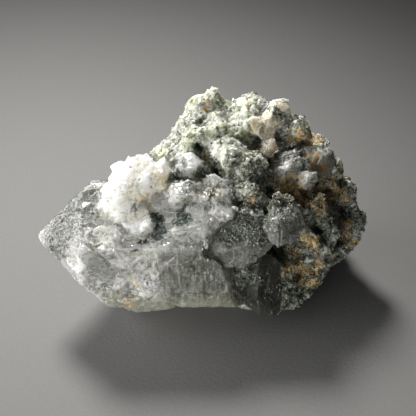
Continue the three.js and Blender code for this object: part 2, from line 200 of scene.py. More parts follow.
# Where the big crystal is a pile of broken blocks
PILE_SPOTS = (
    ((-3.8, -8.3, 37.0), 5.0, 1.0),
    ((-1.4, -4.4, 37.7), 5.0, 1.0),
    ((-7.4, -4.7, 36.7), 5.0, 1.0),
    ((2.1, -10.1, 35.9), 4.0, 1.0),
)
# Milky quartz on the big crystal
MILKY_SPOTS = (
    ((-21.0, -15.7, 38.2), 8, 1.0),
    ((-18.3, -10.8, 39.5), 8, 1.0),
    ((-13.6, -7.7, 39.7), 7, 1.0),
    ((-22.6, -12.5, 39.2), 7, 1.0),
    ((-9.0, -8.0, 39.6), 4.5, 1.0),
    ((-2.6, -2.4, 40.4), 3, 0.8),
    ((5.5, -15.4, 33.4), 2.2, 0.8),
    ((-7.9, -11.4, 34.2), 1.6, 0.9),
)
# Frosted places
FROST_SPOTS = (
    ((-17.2, -14.2, 32.0), 6.0, 1.0),
    ((-24.7, -20.6, 29.3), 3.4, 1.0),
    ((-22.6, -19.5, 29.9), 2.4, 0.8),
    ((-32.1, -22.0, 22.9), 3.2, 1.0),
    ((-14.4, -23.5, 24.2), 4.6, 0.8),
    ((-17.0, -23.4, 17.4), 3.4, 1.0),
    ((-13.5, -23.6, 20.5), 3.0, 0.9),
    ((-21.6, -23.3, 16.5), 2.2, 0.7),
    ((2.4, -16.8, 28.7), 4.5, 0.5),
    ((4.1, -11.0, 35.1), 2.0, 0.9),
    ((-3.7, -19.0, 29.9), 4.5, 0.4),
    ((-30.0, -22.5, 19.0), 2.6, 1.0),
    ((-27.0, -23.4, 15.5), 2.4, 0.9),
    ((-13.5, -15.5, 32.5), 3.4, 0.9),
    ((-23.0, -23.5, 22.5), 3.0, 0.5),
    ((-20.5, -22.8, 24.5), 4.0, 0.6),
    ((-15.2, -24.0, 15.8), 3.2, 1.0),
)
# Smoky places
SMOKE_SPOTS = (
    ((-38.5, -14.0, 24.8), 4.5, 0.45),
    ((-8.2, -23.8, 20.5), 3.0, 0.9),
    ((-8.6, -24.0, 16.0), 3.0, 0.8),
    ((-6.6, -23.4, 24.3), 7, 0.6),
    ((-1.3, -23.6, 22.2), 7, 0.9),
    ((5.0, -23.8, 19.3), 8, 1.0),
    ((-3.8, -24.1, 17.2), 7, 0.9),
    ((8.4, -21.1, 11.8), 8, 1.0),
    ((-5.0, -7.0, 36.7), 5.5, 0.5),
    ((12.0, -5.0, 20.0), 14, 0.8),
)
# The yellowish rim along the lowest edge, from middles given in X and Z
RIM_MIDDLES = ((-22, 11), (-17, 10), (-12, 9.5), (-7, 9.5), (-2, 10), (3, 10))
RIM_SPOTS = tuple(((x, -24.0, z), 3.6, 1.0) for x, z in RIM_MIDDLES)
# Veils of dark specks inside the point
VEIL_SPOTS = (
    ((-36.0, -15.8, 26.3), 6, 1.0),
    ((-33.5, -12.9, 30.3), 6, 1.0),
    ((-29.6, -11.4, 33.9), 5, 0.9),
    ((-34.0, -6.0, 28.0), 9, 1.0),
    ((-28.0, 2.0, 27.0), 9, 0.6),
)
# Tufts of dark chlorite
CLUSTER_SPOTS = (
    ((-13.1, -14.6, 31.7), 0.9, 1.0),
    ((-11.1, -14.9, 32.2), 1.1, 1.0),
    ((-11.6, -16.3, 31.5), 1.6, 1.0),
    ((-11.0, -18.5, 30.4), 1.1, 1.0),
    ((-11.7, -20.2, 29.6), 1.1, 1.0),
    ((-6.7, -14.6, 32.3), 1.0, 0.8),
    ((-5.3, -13.4, 32.9), 0.9, 0.8),
    ((-4.7, -15.3, 31.9), 1.1, 0.8),
    ((-5.7, -16.8, 31.2), 1.0, 0.8),
    ((-6.9, -17.0, 31.1), 0.9, 0.8),
    ((-3.3, -12.7, 33.3), 0.6, 0.8),
    ((-15.5, -21.4, 29.0), 0.6, 0.6),
    ((-14.6, -21.1, 29.1), 0.6, 0.6),
    ((-16.4, -23.3, 28.1), 0.4, 1.0),
    ((-26.0, -15.3, 31.9), 0.4, 0.9),
    ((1.5, -12.0, 35.0), 1.2, 0.5),
)
# Rust on the big crystal
CRYSTAL_STAINS = (
    ((-14.8, -12.0, 35.4), 1.6, 0.45),
    ((-18.2, -23.3, 18.8), 0.8, 1.0),
    ((-17.4, -23.4, 17.0), 0.7, 1.0),
    ((-19.0, -24.2, 11.5), 1.4, 0.8),
    ((1.7, -11.0, 35.5), 1.6, 0.8),
    ((-10.5, -7.5, 38.0), 2.5, 0.35),
)
# More rust on the small crystals
SMALL_STAINS = (
    ((26.5, -0.1, 35.4), 1.3, 1.0),
    ((28.1, 1.6, 36.4), 1.2, 1.0),
    ((28.7, 3.6, 37.4), 1.2, 1.0),
    ((26.1, 3.1, 37.8), 1.2, 1.0),
    ((29.7, 1.5, 34.9), 1.4, 0.8),
    ((17.0, 0.8, 35.7), 1.8, 0.7),
    ((18.1, 1.3, 39.4), 1.8, 0.7),
    ((12.0, 5.0, 43.5), 1.5, 0.6),
)
# Shell-shaped scars broken into the big crystal: (middle, radius, depth), all in mm
SCARS = (
    ((-24.7, -20.6, 29.3), 2.9, 0.5),
    ((-14.4, -23.5, 24.2), 4.7, 0.8),
    ((-13.6, -23.7, 18.5), 3.0, 0.7),
    ((-18.7, -23.6, 15.1), 2.4, 0.7),
    ((-32.1, -22.0, 22.9), 3.0, 0.9),
    ((-35.2, -19.0, 24.8), 2.0, 0.6),
    ((-28.0, -23.5, 17.6), 2.4, 0.8),
    ((-24.9, -23.7, 14.5), 2.4, 0.9),
    ((-7.6, -24.5, 11.5), 3.0, 0.5),
    ((-31.6, -21.2, 28.2), 2.2, 0.4),
    ((-5.0, -9.0, 36.7), 3.6, 0.6),
    ((-0.5, -23.7, 23.0), 4.2, 0.5),
)
# The round broken shell on the lower left face
SHELL_SPOTS = (
    ((-14.8, -23.6, 21.8), 3.8, 1.0),
    ((-14.8, -23.8, 18.0), 3.8, 1.0),
)
# Where the big crystal is crackled through like broken glass
CRACKLE_SPOTS = (
    *SHELL_SPOTS,
    ((-31.0, -22.3, 21.0), 3.2, 0.9),
    ((-27.5, -23.4, 16.5), 3.0, 1.0),
    ((-24.0, -23.6, 14.5), 3.0, 1.0),
    ((-20.5, -23.6, 15.0), 2.5, 0.8),
    ((-21.0, -20.0, 29.0), 2.5, 0.6),
)
# The smooth milky lobe under the heap
LOBE_SPOTS = (
    ((-16.4, -15.4, 31.0), 3.6, 1.0),
    ((-14.6, -17.0, 30.6), 2.4, 1.0),
)
# Growth layers that stand up from a face with a ragged edge
LAYERS = (
    *SHELL_SPOTS,
    ((0.0, -15.5, 31.5), 5.5, 1.0),
    ((2.6, -18.0, 29.0), 4.5, 1.0),
    ((-4.0, -19.5, 29.8), 4.0, 1.0),
)
# Where the rock is broken quartz rather than round lumps
CALM_SPOTS = (
    ((8.6, -4.9, 39.8), 8, 1.0),
    ((4.9, -2.2, 42.4), 7, 1.0),
    ((10.9, -11.8, 37.2), 6, 1.0),
    ((5.0, -12.0, 35.0), 6, 1.0),
)
# Single blocks behind the plates and over the roots of the blades: (middle, size), all in mm
FILLERS = (
    ((15.4, -10.6, 31.3), 2.0),
    ((17.6, -9.6, 32.2), 2.0),
    ((20.4, -8.2, 32.0), 2.2),
    ((23.0, -7.4, 29.6), 2.6),
    ((25.0, -8.8, 27.4), 2.2),
    ((12.7, -13.2, 31.8), 2.0),
    ((10.0, -13.0, 32.5), 1.8),
    ((7.4, -14.0, 33.0), 1.5),
    ((3.6, 1.6, 35.4), 2.8),
    ((1.2, 0.4, 36.8), 2.2),
    ((4.6, -1.2, 35.8), 2.4),
    ((6.4, 0.6, 35.6), 2.2),
)
# Where grains coat the crystals
COAT_SPOTS = (
    ((13.9, -14.3, 30.5), 4, 1.0),
    ((10.0, -15.5, 30.5), 4.5, 1.0),
    ((6.5, -17.5, 28.0), 3, 0.8),
    ((12.0, -19.0, 27.5), 3, 0.45),
    ((18.7, 10.7, 45.6), 1.7, 1.0),
    ((17.5, 11.5, 46.0), 1.2, 0.8),
    ((24.0, 1.0, 37.5), 3, 0.3),
    ((17.0, 1.0, 36.5), 2.6, 0.6),
    ((10.5, -21.0, 17.0), 3, 0.8),
    ((16.0, -18.0, 10.0), 3, 0.3),
    ((19.0, -14.2, 31.7), 2.6, 0.7),
    ((20.9, -11.5, 31.4), 2.6, 1.0),
    ((17.2, -17.2, 31.5), 1.6, 0.6),
    ((-3.8, -8.3, 37.0), 1.6, 0.55),
    ((-1.4, -4.4, 36.7), 2.0, 0.9),
    ((-7.4, -4.7, 36.2), 1.8, 0.9),
    ((2.1, -10.1, 35.9), 1.6, 0.7),
    ((5.0, -13.3, 34.1), 1.8, 0.7),
    ((-0.1, -12.7, 33.3), 1.2, 0.6),
)

# The small crystals: (node, slot, colour, transmission)
SMALL_CRYSTALS = (
    ("front_quartz_blades", "smoky_quartz", "smoky", 0.55),
    ("lower_quartz_crystal", "smoky_quartz", "smoky", 0.9),
    ("side_quartz_cluster", "smoky_quartz", "smoky", 0.45),
    ("top_quartz_cluster", "stained_quartz", "stained", 0.12),
)
SMALL_NODES = tuple(row[0] for row in SMALL_CRYSTALS)

# Width of a face of the first, coarse skin and of the small crystals' skin, in mm
FIRST_SKIN = 0.5
SMALL_SKIN = 0.26
# Faces of a crystal that meet at more than this many degrees keep a sharp edge
SHARP_ANGLE = 12

# Large odd numbers that stir the bits of a whole-number place
STIR_X = 374761393
STIR_Y = 668265263
STIR_Z = 1440662683
STIR_SEED = 1274126177
STIR_LAST = 2246822519
LOW_BITS = 0xFFFFFFFF


def lattice(ix, iy, iz, seed):
    """A repeatable random number from -1 to 1 for each whole-number place."""
    mixed = (ix * STIR_X + iy * STIR_Y + iz * STIR_Z + seed * STIR_SEED) & LOW_BITS
    mixed = ((mixed ^ (mixed >> 13)) * STIR_SEED) & LOW_BITS
    mixed = ((mixed ^ (mixed >> 16)) * STIR_LAST) & LOW_BITS
    return ((mixed >> 8) & 0xFFFF) / 32767.5 - 1


def waves(points, size, seed):
    """Smooth noise from -1 to 1, its swells about `size` apart."""
    scaled = points / size
    corner = np.floor(scaled).astype(np.int64)
    part = scaled - corner
    ease = part * part * part * (part * (part * 6 - 15) + 10)
    total = 0
    for dx in (0, 1):
        for dy in (0, 1):
            for dz in (0, 1):
                weight = (
                    (ease[:, 0] if dx else 1 - ease[:, 0])
                    * (ease[:, 1] if dy else 1 - ease[:, 1])
                    * (ease[:, 2] if dz else 1 - ease[:, 2])
                )
                number = lattice(corner[:, 0] + dx, corner[:, 1] + dy, corner[:, 2] + dz, seed)
                total = total + weight * number
    return total


def rough(points, size, seed, octaves=3):
    """Noise with finer and finer swells."""
    total = np.zeros(len(points))
    for octave in range(octaves):
        total += waves(points, size / 2**octave, seed + octave) / 2**octave
    return total


def grains(points, size, seed):
    """Each point's offset from the nearest seed point and that one's cube, with one seed in each cube."""
    scaled = points / size
    corner = np.floor(scaled).astype(np.int64)
    nearest = np.full(len(points), 9.0)
    offset = np.zeros((len(points), 3))
    identity = np.zeros((len(points), 3), np.int64)
    for dx in (-1, 0, 1):
        for dy in (-1, 0, 1):
            for dz in (-1, 0, 1):
                cell = corner + (dx, dy, dz)
                jitter = np.stack([lattice(*cell.T, seed + k) * 0.5 + 0.5 for k in range(3)], 1)
                apart = scaled - cell - jitter
                distance = np.linalg.norm(apart, axis=1)
                closer = distance < nearest
                nearest = np.where(closer, distance, nearest)
                offset[closer] = apart[closer]
                identity[closer] = cell[closer]
    return offset * size, identity


def facets(points, size, seed):
    """Heights that tilt each grain of the surface its own way, as broken crystals do."""
    offset, identity = grains(points, size, seed)
    tilt = np.stack([lattice(*identity.T, seed + 11 + k) for k in range(3)], 1)
    return (offset * tilt).sum(1) / size + 0.5 * lattice(*identity.T, seed + 17)


def spotted(points, spots, ragged=1.6, seed=5):
    """How far each point lies in a set of spots with ragged edges, from 0 to 1."""
    fade, slope = 1.25, 1.6
    bent = points + ragged * np.stack([rough(points, 3.2, seed + 10 * k) for k in range(3)], 1)
    share = np.zeros(len(points))
    for middle, radius, strength in spots:
        near = fade - np.linalg.norm(bent - np.array(middle), axis=1) / radius
        share = np.maximum(share, strength * np.clip(near * slope, 0, 1))
    return share


def bent_by(points, amount, size, seed):
    """The points pushed about by smooth noise, so that what is drawn on them isn't straight."""
    return points + amount * np.stack([waves(points, size, seed + k) for k in range(3)], 1)


def carved(points, normals, scars, ragged=0.0):
    """How deep each point lies under round scars, each the print of a ball on the skin."""
    bent = points + ragged * np.stack([rough(points, 2.4, 61 + k) for k in range(3)], 1)
    depth = np.zeros(len(points))
    for middle, radius, deep in scars:
        apart = np.linalg.norm(points - np.array(middle), axis=1)
        facing = normals[apart < max(1.0, apart.min() + 0.8)].mean(0)
        facing /= np.linalg.norm(facing) + 1e-9
        ball = (radius**2 + deep**2) / (2 * deep)
        away = bent - (points[apart.argmin()] + facing * (ball - deep))
        under = np.flatnonzero(((away**2).sum(1) < ball**2) & (apart < 1.5 * radius))
        along = -(away[under] * normals[under]).sum(1)
        reach = np.sqrt(np.maximum(along**2 + ball**2 - (away[under] ** 2).sum(1), 0)) - along
        depth[under] = np.maximum(depth[under], np.clip(reach, 0, 1.5 * deep))
    return depth


def terraces(points, size, seed, count):
    """Noise that rises in level steps, as the growth layers on a crystal's faces do."""
    return np.floor(rough(points, size, seed, 2) * count) / count


def cliff(share):
    """Turns a soft-edged share into one with an abrupt edge."""
    return np.clip((share - 0.5) * 9 + 0.5, 0, 1)


def neighbours_mean(mesh, values, rounds):
    """Evens values out between neighbouring corners."""
    pairs = np.empty(len(mesh.edges) * 2, np.int32)
    mesh.edges.foreach_get("vertices", pairs)
    a, b = pairs.reshape(-1, 2).T
    size = len(values)
    count = np.bincount(a, minlength=size) + np.bincount(b, minlength=size) + 1
    for _ in range(rounds):
        total = values.copy()
        for k in range(values.shape[1]):
            total[:, k] += np.bincount(a, values[b, k], size) + np.bincount(b, values[a, k], size)
        values = total / count[:, None]
    return values


def creased(mesh):
    """Smooth faces with the sharp edges kept."""
    mesh.polygons.foreach_set("use_smooth", np.ones(len(mesh.polygons), bool))
    mesh.set_sharp_from_angle(angle=math.radians(SHARP_ANGLE))


def face_means(mesh, values):
    """The mean of a corner value over each face of a mesh of quads."""
    flat = np.empty(len(mesh.loops), np.int32)
    mesh.loops.foreach_get("vertex_index", flat)
    return values[flat.reshape(-1, 4)].mean(1)


def edge_share(mesh, normals):
    """How near each corner is to a sharp edge of the solid, from 0 to 1."""
    evened = neighbours_mean(mesh, normals, 6)
    return np.clip(6 * (1 - np.linalg.norm(evened, axis=1)), 0, 1)


def chipped(points, edge, count, sizes, seed):
    """Small scars at random places along the edges."""
    least_edge, depth_share = 0.35, 0.28
    random = np.random.default_rng(seed)
    places = points[random.choice(np.flatnonzero(edge > least_edge), count)]
    radii = random.uniform(*sizes, count)
    return [(tuple(place), radius, depth_share * radius) for place, radius in zip(places, radii)]


def ridges(mesh, points, normals, deep=0.045):
    """How far each corner stands out from its neighbours, from -1 in a groove to 1 on a ridge."""
    stand = ((points - neighbours_mean(mesh, points, 2)) * normals).sum(1)
    return np.clip(stand / deep, -1, 1)


def corners_of(mesh):
    """A mesh's corners in millimetres."""
    flat = np.empty(len(mesh.vertices) * 3, np.float32)
    mesh.vertices.foreach_get("co", flat)
    return flat.reshape(-1, 3).astype(float) / MM


def normals_of(mesh):
    """The direction that each corner faces."""
    flat = np.empty(len(mesh.vertices) * 3, np.float32)
    mesh.vertex_normals.foreach_get("vector", flat)
    return flat.reshape(-1, 3).astype(float)


def move_corners(mesh, points):
    """Puts a mesh's corners at places given in millimetres."""
    mesh.vertices.foreach_set("co", (points * MM).astype(np.float32).ravel())
    mesh.update()


def paint(mesh, name, values):
    """Keeps a number for each corner, which materials and scatters read by name."""
    layer = mesh.attributes.get(name) or mesh.attributes.new(name, "FLOAT", "POINT")
    layer.data.foreach_set("value", np.asarray(values, np.float32))


def object_of(mesh, name):
    """An object in the scene that shows the mesh."""
    obj = bpy.data.objects.new(name, mesh)
    bpy.context.scene.collection.objects.link(obj)
    return obj


def merged_copy(node, name):
    """A copy of a CAD node's mesh with its loose triangles joined up."""
    mesh = bpy.data.meshes.new(name)
    shape = bmesh.new()
    shape.from_mesh(frame["nodes"][node].data)
    bmesh.ops.remove_doubles(shape, verts=shape.verts, dist=1e-6)
    shape.to_mesh(mesh)
    shape.free()
    return object_of(mesh, name)


def finished(obj):
    """The object with its modifiers worked into its mesh and taken off."""
    mesh = bpy.data.meshes.new_from_object(obj.evaluated_get(bpy.context.evaluated_depsgraph_get()))
    old = obj.data
    obj.modifiers.clear()
    mesh.name = obj.name
    obj.data = mesh
    bpy.data.meshes.remove(old)
    return obj


def even_skin(obj, cell):
    """Gives the mesh one even net of faces, `cell` millimetres wide."""
    even = obj.modifiers.new("Even skin", "REMESH")
    even.mode = "VOXEL"
    even.voxel_size = cell * MM
    even.adaptivity = 0
    return finished(obj)


def placed(form, middle, size):
    """Sets a form's own mesh where it belongs."""
    form.data.transform(Matrix.Translation(Vector(middle) * MM) @ Matrix.Scale(size * MM, 4))
    return form


def built_up(host, blocks, cell):
    """The host and the blocks that stand in it, as one skin."""
    joined = bmesh.new()
    for obj in (host, *blocks):
        joined.from_mesh(obj.data)
    joined.to_mesh(host.data)
    joined.free()
    for block in blocks:
        bpy.data.objects.remove(block)
    return even_skin(host, cell)


def apart_from(nodes, points):
    """How far each point is from the nearest of some CAD nodes, in millimetres."""
    nearest = np.full(len(points), 99.0)
    for node in nodes:
        low, high = (np.array(c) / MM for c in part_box(node))
        near = np.flatnonzero(((points > low - 1) & (points < high + 1)).all(1))
        mesh = frame["nodes"][node].data
        tree = BVHTree.FromPolygons([v.co for v in mesh.vertices], [f.vertices for f in mesh.polygons])
        found = [tree.find_nearest(Vector(points[i] * MM))[3] / MM for i in near]
        nearest[near] = np.minimum(nearest[near], found)
    return nearest


def ride(obj, slot, *nodes):
    """Sets a finished piece on the floor, hangs it on its body and hides the nodes it replaces. The slot is
    unused.
    """
    p = corners_of(obj.data)
    p[:, 2] = np.maximum(p[:, 2], 0)
    move_corners(obj.data, p)
    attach(obj, BODY)
    if nodes:
        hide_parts(*nodes)


def piece_name(node):
    """What the dressed piece of a CAD node is called."""
    return node.replace("quartz_", "")


# Materials

# Refractive index of quartz
QUARTZ_IOR = 1.544
WHITE = (1.0, 1.0, 0.97)
# How much of each of red, green and blue is left in a groove of the quartz, as painted shade
GROOVE_SHADE_SHARES = (0.4, 0.37, 0.28)
# How each kind of quartz looks: values for quartz_material
CLEAR_LOOK = {"transmission": 0.5, "gloss": 0.03, "cloud": 0.9, "depth": 7.0}
CLOUDY_LOOK = {"transmission": 0.25, "gloss": 0.12, "cloud": 0.5, "depth": 5.0}
MILKY_LOOK = {"transmission": 0.15, "gloss": 0.06, "cloud": 0.1, "depth": 14.0, "facet": 0.5, "ridge_highlight": 0.45}
SMALL_LOOK = {"gloss": 0.3, "cloud": 0.7, "depth": 5.0, "density": 40, "stain": 1.0, "ridge_highlight": 0.45}
ROCK_LOOK = {"transmission": 0.2, "gloss": 0.12, "cloud": 0.5, "depth": 2.0, "facet": 0.7, "ridge_highlight": 0.4}
ROCK_QUARTZ = (0.86, 0.87, 0.76)
# What lies in the coated places of the quartz, from its darkest to its palest grains: (place, colour)
DIRT_TONES = (
    (0.38, (0.03, 0.042, 0.036)),
    (0.5, (0.16, 0.19, 0.16)),
    (0.62, (0.7, 0.72, 0.68)),
)
# The rock's tones, from its darkest to its palest grains: (place, colour)
GREY_TONES = (
    (0, (0.075, 0.078, 0.052)),
    (0.45, (0.27, 0.27, 0.2)),
    (0.8, (0.5, 0.5, 0.41)),
    (1, (0.78, 0.78, 0.7)),
)
PALE_TONES = (
    (0, (0.29, 0.31, 0.19)),
    (0.35, (0.43, 0.46, 0.34)),
    (0.7, (0.56, 0.58, 0.48)),
    (1, (0.76, 0.77, 0.71)),
)
MOSS_TONES = (
    (0, (0.2, 0.215, 0.115)),
    (0.5, (0.43, 0.455, 0.3)),
    (1, (0.66, 0.68, 0.54)),
)
DARK_TONES = (
    (0, (0.016, 0.022, 0.016)),
    (0.5, (0.104, 0.127, 0.098)),
    (0.85, (0.26, 0.28, 0.22)),
    (1, (0.56, 0.58, 0.5)),
)
RUST_TONES = (
    (0, (0.2, 0.09, 0.025)),
    (0.45, (0.66, 0.39, 0.11)),
    (1, (0.97, 0.72, 0.34)),
)


def toned(colour, share):
    """A colour made darker or paler."""
    return [min(1.0, share * c) for c in colour]


class Shader:
    """A material under construction."""

    def __init__(self, name):
        self.material = bpy.data.materials.new(name)
        self.material.use_nodes = True
        self.tree = self.material.node_tree
        self.surface = self.tree.nodes["Principled BSDF"]
        self.output = self.tree.nodes["Material Output"]
        self.place = self.add("ShaderNodeTexCoord").outputs["Object"]

    def add(self, kind, **traits):
        node = self.tree.nodes.new(kind)
        for key, value in traits.items():
            setattr(node, key, value)
        return node

    def link(self, source, target):
        self.tree.links.new(source, target)

    def feed(self, socket, value):
        """Links a socket to the input, or sets the input to a plain value."""
        if isinstance(value, bpy.types.NodeSocket):
            self.link(value, socket)
        else:
            socket.default_value = value

    def attribute(self, name):
        """A number that was painted on the corners."""
        return self.add("ShaderNodeAttribute", attribute_name=name).outputs["Fac"]

    def noise(self, size_mm, detail=3.0, roughness=0.6, distortion=0.0):
        node = self.add("ShaderNodeTexNoise")
        self.link(self.place, node.inputs["Vector"])
        node.inputs["Scale"].default_value = 1 / (size_mm * MM)
        node.inputs["Detail"].default_value = detail
        node.inputs["Roughness"].default_value = roughness
        node.inputs["Distortion"].default_value = distortion
        return node.outputs["Fac"]

    def streaks(self, size_mm, turn, stretch, detail=3.0):
        """Noise drawn out into lines."""
        turned = self.add("ShaderNodeMapping")
        self.link(self.place, turned.inputs["Vector"])
        turned.inputs["Rotation"].default_value = turn
        turned.inputs["Scale"].default_value = stretch
        node = self.add("ShaderNodeTexNoise")
        self.link(turned.outputs["Vector"], node.inputs["Vector"])
        node.inputs["Scale"].default_value = 1 / (size_mm * MM)
        node.inputs["Detail"].default_value = detail
        node.inputs["Distortion"].default_value = 0.4
        return node.outputs["Fac"]

    def maths(self, operation, a, b, clamp=False):
        node = self.add("ShaderNodeMath", operation=operation, use_clamp=clamp)
        self.feed(node.inputs[0], a)
        self.feed(node.inputs[1], b)
        return node.outputs[0]

    def times(self, a, b, clamp=False):
        return self.maths("MULTIPLY", a, b, clamp)

    def plus(self, a, b, clamp=False):
        return self.maths("ADD", a, b, clamp)

    def larger(self, a, b):
        return self.maths("MAXIMUM", a, b)

    def span(self, value, low, high, to_low=0.0, to_high=1.0):
        """Stretches the part of a value between low and high over a new span."""
        node = self.add("ShaderNodeMapRange")
        self.feed(node.inputs["Value"], value)
        ends = {"From Min": low, "From Max": high, "To Min": to_low, "To Max": to_high}
        for key, number in ends.items():
            node.inputs[key].default_value = number
        return node.outputs["Result"]

    def ramp(self, value, stops):
        """A colour for each value, from a few stops."""
        node = self.add("ShaderNodeValToRGB")
        self.feed(node.inputs["Fac"], value)
        band = node.color_ramp.elements
        while len(band) < len(stops):
            band.new(0.5)
        for element, (position, colour) in zip(band, stops):
            element.position = position
            element.color = (*colour[:3], 1)
        return node.outputs["Color"]

    def mix(self, share, a, b):
        """Colour a, with a share of colour b laid over it."""
        node = self.add("ShaderNodeMix", data_type="RGBA")
        self.feed(node.inputs[0], share)
        for socket, colour in ((node.inputs[6], a), (node.inputs[7], b)):
            self.feed(socket, colour if isinstance(colour, bpy.types.NodeSocket) else (*colour[:3], 1))
        return node.outputs[2]

    def shards(self, size_mm, turn=(0.3, 0.5, 0.2), stretch=(1.0, 0.55, 1.6)):
        """The tone of each uneven splinter in the stone, and how far its border is, both from 0 to 1."""
        swirl = self.add("ShaderNodeTexNoise")
        self.link(self.place, swirl.inputs["Vector"])
        swirl.inputs["Scale"].default_value = 0.7 / (size_mm * MM)
        push = self.add("ShaderNodeVectorMath", operation="MULTIPLY_ADD")
        self.link(swirl.outputs["Color"], push.inputs[0])
        push.inputs[1].default_value = (size_mm * MM,) * 3
        self.link(self.place, push.inputs[2])
        turned = self.add("ShaderNodeMapping")
        self.link(push.outputs[0], turned.inputs["Vector"])
        turned.inputs["Rotation"].default_value = turn
        turned.inputs["Scale"].default_value = stretch
        results = []
        for feature, output in (("F1", "Color"), ("DISTANCE_TO_EDGE", "Distance")):
            cell = self.add("ShaderNodeTexVoronoi", feature=feature)
            self.link(turned.outputs["Vector"], cell.inputs["Vector"])
            cell.inputs["Scale"].default_value = 1 / (size_mm * MM)
            results.append(cell.outputs[output])
        single = self.add("ShaderNodeSeparateColor")
        self.link(results[0], single.inputs["Color"])
        return single.outputs[0], results[1]

    def facets(self, size_mm):
        """Heights in millimetres that tilt each small cell its own way."""
        cell = self.add("ShaderNodeTexVoronoi")
        self.link(self.place, cell.inputs["Vector"])
        cell.inputs["Scale"].default_value = 1 / (size_mm * MM)
        apart = self.add("ShaderNodeVectorMath", operation="SUBTRACT")
        self.link(self.place, apart.inputs[0])
        self.link(cell.outputs["Position"], apart.inputs[1])
        tilt = self.add("ShaderNodeVectorMath", operation="SUBTRACT")
        self.link(cell.outputs["Color"], tilt.inputs[0])
        tilt.inputs[1].default_value = (0.5, 0.5, 0.5)
        rise = self.add("ShaderNodeVectorMath", operation="DOT_PRODUCT")
        self.link(apart.outputs[0], rise.inputs[0])
        self.link(tilt.outputs[0], rise.inputs[1])
        return self.times(rise.outputs["Value"], 1 / MM)

    def bump(self, height):
        """Relief from a height in millimetres."""
        node = self.add("ShaderNodeBump")
        node.inputs["Strength"].default_value = 1.0
        node.inputs["Distance"].default_value = MM
        self.link(height, node.inputs["Height"])
        self.link(node.outputs["Normal"], self.surface.inputs["Normal"])

    def absorb(self, colour, density):
        """Colours the light that goes through, by density per metre."""
        node = self.add("ShaderNodeVolumeAbsorption")
        node.inputs["Color"].default_value = (*colour[:3], 1)
        node.inputs["Density"].default_value = density
        self.link(node.outputs["Volume"], self.output.inputs["Volume"])


def quartz_body(s, colour, cloud, frost, plain, tone):
    """The quartz's colour: paler with frost and painted highlights, darker in some splinters, with painted
    shade in the grooves.
    """
    dusk = s.times(s.times(s.span(tone, 0.75, 0.15), cloud), plain)
    body = s.mix(frost, toned(colour, 0.9), toned(colour, 1.06))
    body = s.mix(dusk, body, toned(colour, 0.34))
    # Painted shade in the grooves, weaker where frost or a painted highlight lies
    low = s.span(s.attribute("ridge"), -0.15, -0.8, 0.0, 0.7)
    groove = s.times(low, s.span(frost, 0.0, 1.0, 1.0, 0.25))
    return s.mix(groove, body, [share * c for share, c in zip(GROOVE_SHADE_SHARES, colour)])


def quartz_inside(s, body, colour, cloud, plain, border, line, ridge_highlight):
    """Dark specks on the inner veils, with painted glints, cracks and a painted highlight on the ridges."""
    speck = s.span(s.noise(0.45, 4, 0.8), 0.52, 0.57)
    wide = s.span(s.noise(3.0, 3, 0.6), 0.38, 0.6)
    veil = s.times(s.plus(s.times(wide, 0.7 * cloud), s.attribute("veil"), True), plain)
    body = s.mix(s.times(speck, veil), body, toned(colour, 0.16))
    body = s.mix(s.times(s.attribute("veil"), 0.75), body, toned(colour, 0.3))
    # Painted glints: white sparkle laid into the colour on the veils
    glint = s.times(s.span(s.noise(0.4, 3, 0.8, 0.3), 0.55, 0.58), veil)
    edge = s.times(s.span(border, 0.035, 0.0), s.span(s.noise(4.0, 2), 0.45, 0.6))
    crack = s.times(s.span(line, 0.06, 0.0), s.span(s.noise(2.5, 3), 0.5, 0.6))
    bright = s.larger(glint, s.times(s.larger(edge, crack), cloud))
    body = s.mix(bright, body, WHITE)
    # Painted highlight on the ridges
    body = s.mix(s.span(s.attribute("ridge"), 0.2, 0.8, 0.0, ridge_highlight), body, WHITE)
    return s.mix(s.times(s.attribute("veil"), 0.5), body, (0.2, 0.205, 0.185))


def quartz_marks(s, body, colour, line, stain):
    """The crackled, smoky, yellowish, coated and rusty places."""
    cell, seam = s.shards(1.1, (0.4, 1.1, 0.3))
    crackle = s.attribute("crackle")
    body = s.mix(s.times(s.span(cell, 0.6, 0.25), crackle), body, toned(colour, 0.42))
    body = s.mix(s.times(s.span(seam, 0.1, 0.03), crackle), body, (1.0, 1.0, 0.98))
    comb = s.span(s.streaks(0.55, (0, 0.42, 0), (1.0, 0.6, 0.16)), 0.42, 0.6, 1.0, 0.35)
    body = s.mix(s.times(s.attribute("smoke"), comb), body, (0.19, 0.2, 0.14))
    body = s.mix(s.times(s.attribute("rim"), 0.7), body, (0.5, 0.5, 0.37))
    dirt = s.ramp(s.noise(0.5, 3, 0.75), DIRT_TONES)
    body = s.mix(s.span(s.attribute("coat"), 0.25, 0.6, 0.0, 0.9), body, dirt)
    vein = s.larger(s.span(line, 0.14, 0.05), s.span(s.noise(1.2, 4, 0.7), 0.45, 0.6))
    rusty = s.times(s.times(s.attribute("stain"), vein), stain)
    return s.mix(rusty, body, (0.78, 0.47, 0.14))


